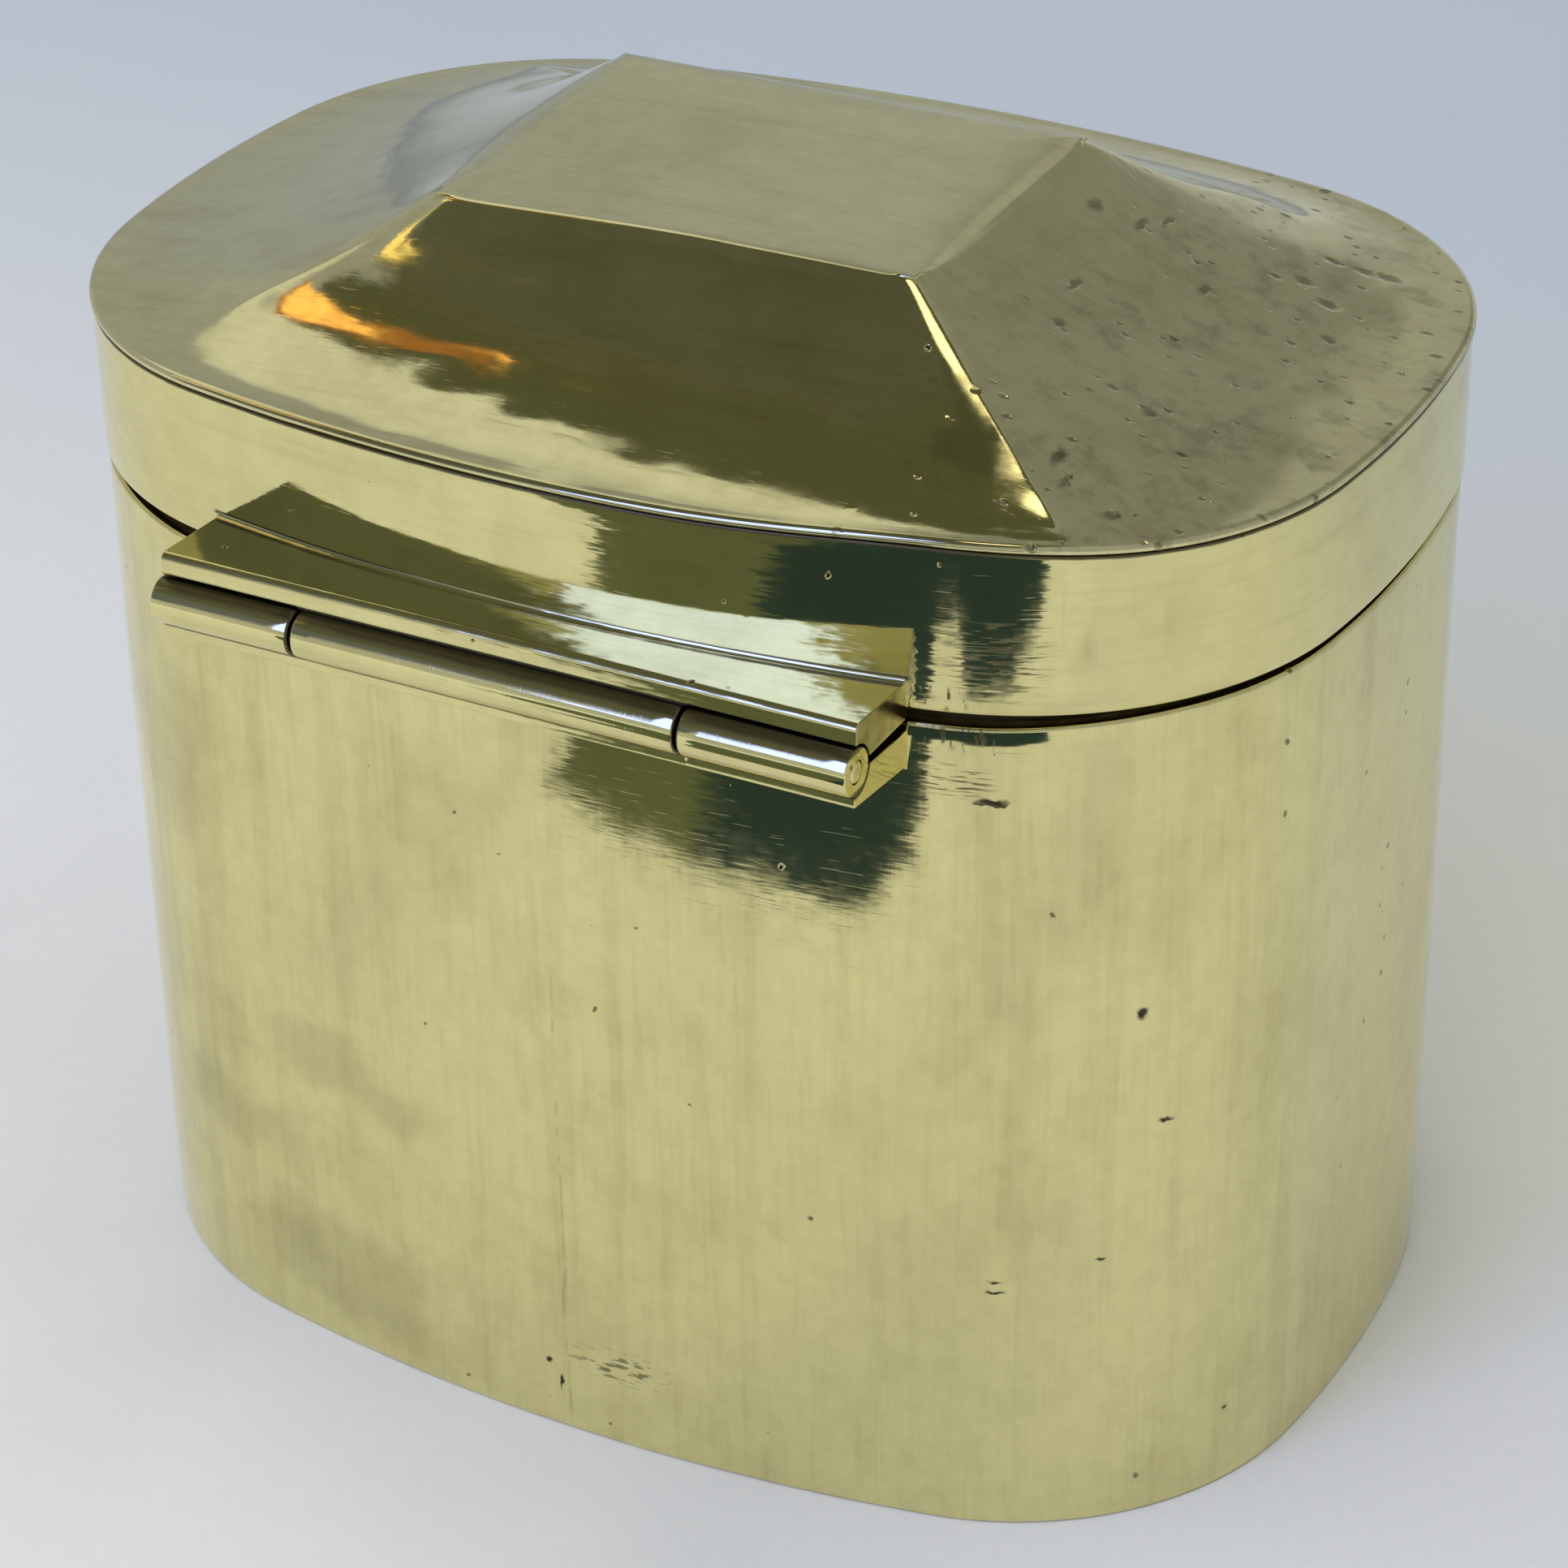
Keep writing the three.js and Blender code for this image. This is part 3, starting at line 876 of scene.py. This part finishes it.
def brass(name, color, roughness, streak, streak_depth, scratch, scratch_depth, pit_share, patina,
          dents, tear=0.012, extra=None):
    """Old polished brass: mottled patina, streaks of filing, fine scratches, pits and soft dents.

    streak and scratch are how densely each runs along X, Y and Z; the depths are millimetres.
    tear is how far the filing turns the surface, which frays the edges of reflections.
    extra(nodes, point) returns a (dark mask, height in mm) pair for marks of the piece's own, and for the
    painted shade and painted reflections that some pieces carry."""
    material, n = new_material(name)
    point = n.place()

    stain = n.ramp(n.noise(point, 0.16, 4, 0.6), 0.42, 0.72)
    fine = n.noise(point, 0.9, 5, 0.65)
    mottle = n.ramp(fine, 0.35, 0.7)
    streaks = n.noise(n.scaled(point, streak), 3.2, 3, 0.6)
    bands = n.ramp(n.noise(n.scaled(point, streak), 0.55, 3, 0.6), 0.48, 0.70)
    lines = n.noise(n.scaled(point, scratch), 5.5, 2, 0.55)
    hair = n.ramp(n.noise(n.scaled(point, scratch, turn=(0.1, 0.07, 0.12)), 9.0, 1), 0.66, 0.74)
    pits = n.spots(n.shaken(point, 2.4, 0.35), 0.9, 0.15, pit_share)

    tarnish = n.times(n.plus(n.times(stain, 0.6), n.times(mottle, 0.4)), patina)
    tarnish = n.plus(tarnish, n.times(n.ramp(streaks, 0.45, 0.75), patina * 0.35))
    tarnish = n.plus(tarnish, n.times(bands, patina * 0.5))
    base = n.mix(tarnish, color, DARK_BRASS)
    base = n.mix(n.times(hair, 0.10), base, BRIGHT_BRASS)
    base = n.mix(n.times(pits, 0.75), base, PIT_AND_PAINTED_SHADE_BROWN)

    height = n.plus(n.times(streaks, streak_depth), n.times(lines, scratch_depth))
    height = n.plus(height, n.times(n.noise(point, 0.35, 2), dents * 2))
    height = n.plus(height, n.times(fine, dents * 0.35))
    height = n.minus(height, n.times(pits, 0.03))
    height = n.minus(height, n.times(hair, scratch_depth * 0.8))
    gloss = n.ramp(fine, 0.3, 0.75, roughness * 0.8, roughness * 1.5)
    gloss = n.plus(gloss, n.times(tarnish, 0.08))
    if extra is not None:
        dark, relief = extra(n, point)
        # The dark mask, marks together with painted shade and painted reflections, is mixed in as brown.
        base = n.mix(dark, base, PIT_AND_PAINTED_SHADE_BROWN)
        height = n.plus(height, relief)
        gloss = n.plus(gloss, n.times(dark, 0.3))

    torn = n.shake(n.scaled(point, (0.35, 0.35, 3.0)), 2.6, 3.0)
    torn = n.vector("MULTIPLY", torn, (tear * 4, tear * 4, tear))
    filed = n.vector("ADD", n.add("ShaderNodeNewGeometry").outputs["Normal"], torn)
    filed = n.add("ShaderNodeVectorMath", {0: filed}, operation="NORMALIZE").outputs[0]
    bump = n.add("ShaderNodeBump", {"Height": height, "Strength": 1.0, "Distance": MM, "Normal": filed})
    n.surface(n.add("ShaderNodeBsdfPrincipled", {"Base Color": base, "Metallic": 1.0,
                                                 "Roughness": gloss, "Normal": bump.outputs[0]}))
    return material


# Places of single marks, each a centre and half sizes.
WALL_PITS = (
    ((1.0, 21.7, 3.7), (0.24, 1.0, 0.24)),
    ((0.35, 21.7, 2.6), (0.08, 1.0, 0.75)),
    ((-25.3, 15.8, 26.8), (0.30, 0.4, 0.42)),
    ((-28.1, 11.7, 4.2), (0.16, 0.3, 0.24)),
    ((-26.1, 14.8, 21.1), (0.40, 0.5, 0.16)),
    ((-20.2, 19.2, 13.4), (0.50, 0.5, 0.09)),
    ((-20.2, 19.2, 12.9), (0.60, 0.5, 0.09)),
    ((-24.1, 16.8, 14.4), (0.26, 0.4, 0.12)),
    ((-19.9, 19.3, 37.5), (1.00, 0.8, 0.22)),
)
# Soft darker patches on the wall, painted reflections of creases in the cloth.
WALL_FOLD_REFLECTIONS = (
    ((13.0, 20.5, 4.5), (7.0, 8.0, 4.5)),
    ((18.5, 19.0, 11.5), (6.5, 8.0, 2.6)),
    ((11.5, 20.5, 15.5), (6.5, 8.0, 2.4)),
    ((22.0, 18.0, 30.0), (5.0, 8.0, 6.0)),
)
LID_PITS = (
    ((-15.7, -4.1, 52.9), (0.34, 1.05, 0.7)), ((-16.3, -5.6, 52.6), (0.31, 0.98, 0.7)),
    ((-13.9, -3.2, 53.8), (0.50, 0.77, 0.7)), ((-15.8, 3.1, 53.0), (0.31, 0.98, 0.7)),
    ((-19.5, -2.3, 51.3), (0.34, 0.70, 0.6)), ((-22.1, -7.2, 50.2), (0.70, 0.56, 0.6)),
    ((-22.2, -10.3, 49.9), (0.56, 0.42, 0.6)), ((-23.6, -10.6, 49.5), (0.77, 0.45, 0.6)),
    ((-24.6, -10.9, 49.3), (0.84, 0.45, 0.6)), ((-23.6, -6.2, 49.8), (0.91, 0.48, 0.6)),
    ((-24.8, -3.4, 49.6), (0.56, 0.42, 0.6)), ((-16.7, 6.4, 52.8), (0.42, 0.56, 0.7)),
    ((-21.8, 8.7, 50.8), (0.49, 0.56, 0.7)), ((-20.1, 13.9, 50.8), (0.39, 0.84, 0.7)),
    ((-20.9, 15.0, 50.4), (0.31, 0.70, 0.7)), ((-23.2, 15.5, 49.6), (0.49, 0.42, 0.6)),
)


def wall_marks_and_reflections(n, point):
    """The soldered upright joint at mid back, pits and a scuff beside its foot, faint staining below the
    hinge, painted dark reflection streaks beside the hinge, and soft darker patches that are painted
    reflections of creases in the cloth.
    """
    x, y, z = n.split(point)
    wander = n.times(n.minus(n.noise(point, 0.3, 3), 0.5), 0.5)
    across = n.math("ABSOLUTE", n.plus(x, wander))
    line = n.times(n.ramp(across, 0.12, 0.02), n.math("GREATER_THAN", y, 0.0))
    broken = n.ramp(n.noise(n.scaled(point, (0.2, 0.2, 1.0)), 0.8, 3), 0.42, 0.62)
    joint = n.times(n.times(n.times(line, broken), n.ramp(z, 27.0, 22.0)), 0.22)
    pits = n.marks(n.shaken(point, 2.2, 0.45), WALL_PITS)
    area = n.near(point, (-2.6, HALF_DEPTH, 4.4), (3.6, 2.0, 1.3), 0.7)
    grit = n.ramp(n.noise(n.scaled(point, (0.9, 0.9, 4.0), turn=(0, 0.25, 0)), 1.6, 3), 0.54, 0.64)
    scuff = n.times(n.times(area, grit), 0.7)
    # Painted dark reflection beside the hinge, its edge torn into teeth by scratches.
    upright = n.reflection_teeth(point, (-18.9, 19.8, 40.5), (2.6, 1.5, 0.9), (1.2, 1.2, 0.3))
    level = n.reflection_teeth(point, (-18.5, 19.8, 38.4), (2.4, 1.5, 1.1), (0.25, 0.25, 2.6))
    reflection_teeth = n.times(n.most(upright, level), 0.8)
    # Painted reflections of creases in the cloth: soft darker patches on the wall.
    fold_reflections = n.times(n.marks(n.shaken(point, 0.22, 7.0), WALL_FOLD_REFLECTIONS), 0.17)
    drips = n.times(n.drips(point, (-22, 18, 37), (5, 5, 4), 0.10), 0.2)
    # From here joint also holds the painted reflection patches and the faint staining.
    joint = n.plus(joint, n.most(fold_reflections, drips))
    dark = n.math("ADD", n.plus(joint, pits), n.plus(reflection_teeth, scuff), clamp=True)
    return dark, n.times(n.plus(pits, scuff), -0.012)


def seam_painted_shade(n, point):
    """Painted shade, near black, at the root of the collar, in the gap where the lid's lower edge meets
    the wall.
    """
    away = n.math("ABSOLUTE", n.minus(n.split(point)[2], WALL_HIGH.z + 0.1))
    return n.times(n.ramp(away, 0.75, 0.35), 0.97), 0.0


def hinge_painted_shade_and_end_mark(n, point):
    """Painted shade in the troughs of the hinge bars and on the downward faces under the upper one, and a
    darkening of its -X end.
    """
    x, y, z = n.split(point)
    y, off_z = n.minus(y, AXIS_Y), n.minus(z, AXIS_Z)
    from_axis = n.math("SQRT", n.plus(n.times(y, y), n.times(off_z, off_z)))
    # Painted shade in the troughs beside the knuckles.
    trough = n.ramp(from_axis, 1.26, 1.17)
    facing = n.split(n.add("ShaderNodeTexCoord").outputs["Normal"])[2]
    # Painted shade on faces turned downwards, under the upper bar.
    under = n.times(n.ramp(facing, -0.15, -0.45), n.math("GREATER_THAN", z, AXIS_Z + 0.9))
    # An uneven darkening of the upper bar's -X end.
    end = n.times(n.ramp(x, -HINGE_END + 0.06, -HINGE_END + 0.01), n.ramp(z, 41.0, 41.3))
    end = n.times(end, n.ramp(n.noise(point, 0.9, 3), 0.25, 0.75, 0.35, 0.75))
    return n.times(n.most(n.most(trough, under), end), 0.93), 0.0


def knuckle_painted_shade_and_joints(n, point):
    """Painted shade along the top and foot of the knuckles, close to the bars, and darkening in their
    joints.
    """
    x, _, z = n.split(point)
    wander = n.times(n.minus(n.noise(point, 0.7, 3), 0.5), 0.12)
    z = n.plus(z, wander)
    # Painted shade at the top and foot, where the bars come close.
    high = n.ramp(z, AXIS_Z + 0.74, AXIS_Z + 0.92)
    low = n.ramp(z, AXIS_Z - 0.72, AXIS_Z - 0.88)
    dark = n.times(n.most(high, low), 0.85)
    # Darker in the joints between the knuckles.
    for joint in KNUCKLE_JOINTS:
        away = n.math("ABSOLUTE", n.minus(x, joint))
        dark = n.most(dark, n.ramp(away, 0.10, 0.03, 0.0, 0.9))
    return dark, 0.0


def rim_painted_shade_and_marks(n, point):
    """Painted shade in the joint under the lid plate and above the hinge bar; beside the hinge, painted
    dark reflection streaks and faint staining; and a faint darkening at the +X end.
    """
    x, y, z = n.split(point)
    off = n.vector("MULTIPLY", n.vector("SUBTRACT", point, (*RIM_LIFT_AT, 0)), (1, 1, 0))
    lift = n.times(n.math("EXPONENT", n.times(n.dot(off, off), -1 / RIM_LIFT_SPREAD)), RIM_LIFT)
    wander = n.times(n.minus(n.noise(point, 0.8, 2), 0.5), 0.08)
    joint = RIM_Z - PLATE_EDGE
    # Painted shade in the joint under the lid plate's edge.
    line = n.ramp(n.plus(n.minus(z, lift), wander), joint - 0.18, joint - 0.07)
    # Painted shade in the crease where the hinge bar meets the band.
    crease = n.math("ABSOLUTE", n.minus(z, BAR_BACK_Z + 0.33))
    crease = n.times(n.ramp(crease, 0.13, 0.05), n.math("GREATER_THAN", y, 0.0))
    crease = n.times(crease, n.ramp(n.math("ABSOLUTE", x), HINGE_END + 0.3, HINGE_END))
    # Painted dark reflection beside the hinge, its edge torn into teeth by scratches.
    teeth = n.reflection_teeth(point, (-20.2, 19.4, 44.2), (3.2, 2.0, 2.6), (0.22, 0.22, 2.4))
    reflection_teeth = n.reflection_teeth(point, (-18.0, 20.0, 42.2), (1.9, 1.5, 0.8), (0.9, 0.9, 0.35))
    drips = n.drips(point, (-23, 18, 46), (6, 5, 3), 0.12)
    reflection_teeth_and_stains = n.most(n.times(n.most(teeth, reflection_teeth), 0.8), n.times(drips, 0.25))
    # A faint darkening at the +X end of the band.
    reflection_teeth_and_stains = n.most(reflection_teeth_and_stains, n.times(n.near(point, (29, 6, 46), (4, 8, 5), 0.9), 0.2))
    return n.most(n.times(n.most(line, crease), 0.9), reflection_teeth_and_stains), 0.0


def lid_marks(n, point):
    """Small dark pits, thickest over the -X end of the lid."""
    end = n.ramp(n.split(point)[0], -11.0, -19.0)
    stretched = n.scaled(point, (1.0, 1.5, 0.6), turn=(0, 0, 0.5))
    small = n.spots(stretched, 0.95, 0.25, 0.50)
    large = n.spots(stretched, 0.5, 0.20, 0.34)
    pits = n.most(n.times(n.most(small, large), end), n.marks(n.shaken(point, 1.6, 0.5), LID_PITS))
    cloud = n.times(n.ramp(n.noise(point, 0.55, 4, 0.65), 0.48, 0.7), end)
    dark = n.math("ADD", n.times(pits, 0.52), n.times(cloud, 0.30), clamp=True)
    return dark, n.times(pits, -0.035)


def make_materials():
    upright = (1, 1, 0.06)
    level = (0.05, 0.05, 1)
    along_x = (0.04, 1, 1)
    even = (1, 1, 1)
    return {
        "wall": brass("brass_wall", WALL_BRASS, 0.050, upright, 0.0008, level, 0.0005, pit_share=0.06,
                      patina=0.30, dents=0.0018, tear=0.014, extra=wall_marks_and_reflections),
        "band": brass("brass_band", WALL_BRASS, 0.048, (0.06, 0.06, 1), 0.0006, level, 0.0006,
                      pit_share=0.05, patina=0.26, dents=0.0016, tear=0.016, extra=rim_painted_shade_and_marks),
        "lid": brass("brass_lid", LID_BRASS, 0.055, (0.12, 1, 1), 0.0006, (0.08, 1, 1), 0.0006,
                     pit_share=0.02, patina=0.30, dents=0.003, tear=0.004, extra=lid_marks),
        "hinge": brass("brass_hinge", WALL_BRASS, 0.07, along_x, 0.0006, (0.03, 1, 1), 0.0005,
                       pit_share=0.02, patina=0.22, dents=0.0012, tear=0.020, extra=hinge_painted_shade_and_end_mark),
        "knuckle": brass("brass_knuckle", WALL_BRASS, 0.06, along_x, 0.0004, (1, 0.05, 0.05), 0.0004,
                         pit_share=0.02, patina=0.2, dents=0.001, tear=0.004, extra=knuckle_painted_shade_and_joints),
        "pin": brass("brass_pin", PIN_BRASS, 0.20, even, 0.001, even, 0.001, pit_share=0.05,
                     patina=0.2, dents=0.001),
        "base": brass("brass_base", BASE_BRASS, 0.28, (0.3, 0.3, 1), 0.004, (0.1, 1, 1), 0.004,
                      pit_share=0.1, patina=0.5, dents=0.006),
        "inside": brass("brass_inside", INSIDE_BRASS, 0.30, level, 0.002, level, 0.002,
                        pit_share=0.08, patina=0.6, dents=0.004, tear=0.006, extra=seam_painted_shade),
    }


# ---- light

def direction(azimuth, elevation):
    """Unit vector; azimuth is measured from +Y towards +X."""
    a, e = math.radians(azimuth), math.radians(elevation)
    return (math.sin(a) * math.cos(e), math.cos(a) * math.cos(e), math.sin(e))


def lobe(n, ray, azimuth, elevation, radius, soft):
    """1 where the ray points within `radius` degrees of a direction, fading over `soft` degrees."""
    edge = math.cos(math.radians(radius + soft))
    return n.ramp(n.dot(ray, direction(azimuth, elevation)), edge, math.cos(math.radians(radius)))


def panel(n, ray, azimuth, elevation, half_width, half_height, soft):
    """1 inside an upright rectangle of the room, all sizes in degrees."""
    middle = Vector(direction(azimuth, elevation))
    side = Vector(direction(azimuth + 90, 0))
    up = middle.cross(side)
    masks = []
    for axis, half in ((side, half_width), (up, half_height)):
        size = n.math("ABSOLUTE", n.dot(ray, tuple(axis)))
        masks.append(n.ramp(size, math.sin(math.radians(half + soft)), math.sin(math.radians(half))))
    ahead = n.math("GREATER_THAN", n.dot(ray, tuple(middle)), 0.0)
    return n.times(n.times(masks[0], masks[1]), ahead)


def make_world():
    """A pale room: bright low down, cool grey behind the box, dim overhead on the +X side, with a
    daylight window in front and a warm lamp."""
    world = bpy.data.worlds.new("room")
    bpy.context.scene.world = world
    world.use_nodes = True
    world.node_tree.nodes.clear()
    n = Nodes(world.node_tree)
    ray = n.add("ShaderNodeTexCoord").outputs["Generated"]
    bent = n.shaken(ray, 9.0, 0.09, 3.0)
    clouds = n.ramp(n.noise(bent, 3.0, 3), 0.35, 0.65)
    color = n.mix(n.ramp(n.split(ray)[2], 0.0, 0.5), (0.56, 0.59, 0.62), (0.40, 0.42, 0.45))
    color = n.mix(n.times(clouds, 0.25), color, (0.28, 0.30, 0.31))
    pale_wall = panel(n, bent, 128, 48, 14, 8, 3)
    grey_corner = lobe(n, bent, 180, 42, 20, 12)
    cool_shade = panel(n, bent, 48, 26, 13, 12, 3)
    window = panel(n, bent, 19.5, 35, 7.5, 20, 1.5)
    pale_post = panel(n, bent, 165, 28, 3.0, 9, 4)
    far_wall = lobe(n, bent, 140, 4, 13, 9)
    ceiling_lamp = lobe(n, ray, 150, 80, 4.0, 2.5)
    lamp_shade = lobe(n, bent, 80, 46.5, 2.5, 2.0)
    lamp_glow = panel(n, ray, 105.5, 51.5, 1.7, 4.2, 0.7)
    lamp_bulb = panel(n, ray, 104.8, 50.6, 1.5, 2.5, 0.5)
    lamp_spark = lobe(n, ray, 104.6, 56.8, 0.35, 0.5)
    parts = (
        (pale_wall, (0.76, 0.77, 0.73)),
        (grey_corner, (0.27, 0.28, 0.29)),
        # The dim overhead, as five patches.
        (lobe(n, bent, 101, 73, 21, 2.0), (0.10, 0.105, 0.06)),
        (lobe(n, bent, 146, 65, 8, 2.0), (0.10, 0.105, 0.06)),
        (lobe(n, bent, 74, 61, 11, 3), (0.115, 0.115, 0.065)),
        (lobe(n, bent, 100, 78, 5, 6), (0.07, 0.08, 0.05)),
        (lobe(n, bent, 32, 60, 27, 6), (0.11, 0.115, 0.09)),
        (cool_shade, (0.13, 0.155, 0.20)),
        (window, (1.15, 1.5, 4.8)),
        (pale_post, (0.40, 0.42, 0.43)),
        (far_wall, (0.37, 0.40, 0.45)),
        (ceiling_lamp, (2.2, 2.0, 1.5)),
        (lamp_shade, (1.5, 1.15, 0.45)),
        (lamp_glow, (0.40, 0.17, 0.045)),
        (lamp_bulb, (1.8, 0.95, 0.28)),
        (lamp_spark, (1.5, 0.75, 0.2)),
    )
    for mask, tint in parts:
        color = n.mix(mask, color, tint)
    n.surface(n.add("ShaderNodeBackground", {"Color": color, "Strength": 1.0}), "World")


def area_light(name, place, look_at, size, power, color):
    data = bpy.data.lights.new(name, "AREA")
    data.shape = "RECTANGLE"
    data.size, data.size_y = size
    data.energy = power
    data.color = color
    lamp = bpy.data.objects.new(name, data)
    lamp.location = place
    lamp.rotation_euler = (Vector(look_at) - Vector(place)).to_track_quat("-Z", "Y").to_euler()
    lamp.visible_glossy = False
    bpy.context.scene.collection.objects.link(lamp)


def make_lights():
    area_light("overhead", (0.15, 0.25, 0.9), (0, 0, 0), (1.4, 1.4), 7.5, (1.0, 0.99, 0.96))
    area_light("front", (0.1, 0.7, 0.4), (0, 0, 0.02), (0.8, 0.5), 1.5, (0.97, 0.99, 1.0))


REFLECTION_SHEET_OUTLINE = ((29, 71.5), (12, 70.5), (-11, 71), (-13, 86), (-15, 101), (-26, 104), (-32, 93),
                (-50, 88), (-72, 92), (-110, 160), (-60, 320), (140, 320), (90, 190), (58, 130),
                (38, 106), (32, 88))
REFLECTION_SHEET_EDGE_STEPS = 14
REFLECTION_SHEET_Z = 0.6


def make_reflection_sheet():
    """A dark sheet lying in front of the box that glows faintly, seen only in the metal's reflections: a
    painted dark reflection.
    """
    outline = []
    for (ax, ay), (bx, by) in zip(REFLECTION_SHEET_OUTLINE, REFLECTION_SHEET_OUTLINE[1:] + REFLECTION_SHEET_OUTLINE[:1]):
        for i in range(REFLECTION_SHEET_EDGE_STEPS):
            x = ax + (bx - ax) * i / REFLECTION_SHEET_EDGE_STEPS
            y = ay + (by - ay) * i / REFLECTION_SHEET_EDGE_STEPS
            outline.append((x + 2.2 * waves(x, y, 0, 4, 41) + 1.2 * waves(x, y, 0, 1.2, 42),
                            y + 1.6 * waves(x, y, 9, 4, 43), REFLECTION_SHEET_Z))
    dark_reflection_sheet = mesh_object("dark_reflection_sheet", outline, [tuple(range(len(outline)))])
    material, n = new_material("dark_reflection_sheet")
    point = n.place()
    x = n.plus(n.split(point)[0], n.times(n.noise(point, 0.06, 3), 22.0))
    # Painted reflection colour: dark teal, turning olive towards +X.
    tint = n.mix(n.ramp(x, 20.0, 24.0), (0.026, 0.048, 0.056), (0.115, 0.135, 0.085))
    n.surface(n.add("ShaderNodeEmission", {"Color": tint, "Strength": 1.0}))
    dark_reflection_sheet.data.materials.append(material)
    dark_reflection_sheet.visible_camera = False
    dark_reflection_sheet.visible_diffuse = False
    dark_reflection_sheet.visible_shadow = False


# The near and far tones and the lit and shaded tones are painted light and painted shade on one pale
# cloth.
CLOTH_NEAR_LIT = (0.775, 0.770, 0.700)
CLOTH_FAR_SHADED = (0.520, 0.570, 0.585)
CLOTH_LIT = (0.83, 0.84, 0.82)
CLOTH_SHADED = (0.50, 0.52, 0.51)
CLOTH_THREAD = (0.55, 0.57, 0.60)


def floor_material():
    """Plain pale cloth, with painted shade making it darker and cooler towards the back, and painted light
    and shade in soft patches near the box.
    """
    material, n = new_material("pale_cloth")
    point = n.place()
    folds_and_painted_light = n.ramp(n.noise(point, 0.011, 2), 0.35, 0.65)
    weave = n.noise(point, 1.1, 3, 0.6)
    shade = n.ramp(n.noise(n.scaled(point, (1, 1, 1), turn=(0, 0, 0.6)), 0.024, 3), 0.42, 0.68)
    near_box = n.near(point, (0, 60, 0), (150, 130, 50), 0.6)
    # Painted shade: darker and cooler towards the back.
    color = n.mix(n.ramp(n.split(point)[1], 20.0, -150.0), CLOTH_NEAR_LIT, CLOTH_FAR_SHADED)
    # Painted light and painted shade in soft patches near the box; the same mask also raises the cloth.
    color = n.mix(n.times(n.times(folds_and_painted_light, near_box), 0.3), color, CLOTH_LIT)
    color = n.mix(n.times(n.times(shade, near_box), 0.28), color, CLOTH_SHADED)
    color = n.mix(n.times(n.ramp(weave, 0.35, 0.65), 0.06), color, CLOTH_THREAD)
    height = n.plus(n.times(folds_and_painted_light, 1.5), n.times(weave, 0.05))
    bump = n.add("ShaderNodeBump", {"Height": height, "Strength": 0.5, "Distance": MM})
    n.surface(n.add("ShaderNodeBsdfPrincipled", {"Base Color": color, "Roughness": 0.85,
                                                 "Normal": bump.outputs[0]}))
    return material


def main():
    bpy.context.scene.view_settings.view_transform = "Standard"
    materials = make_materials()
    dressed = (
        (make_wall(), "wall"), (make_base(), "base"), (make_collar(), "inside"),
        (make_band(), "band"), (make_lid_top(), "lid"), (make_bar(), "hinge"),
        (make_ledge(), "hinge"), (make_pin(), "pin"),
        *((knuckle, "knuckle") for knuckle in make_knuckles()),
    )
    for piece, finish in dressed:
        piece.data.materials.append(materials[finish])
    make_floor(floor_material())
    make_reflection_sheet()
    make_world()
    make_lights()
    make_camera()


main()
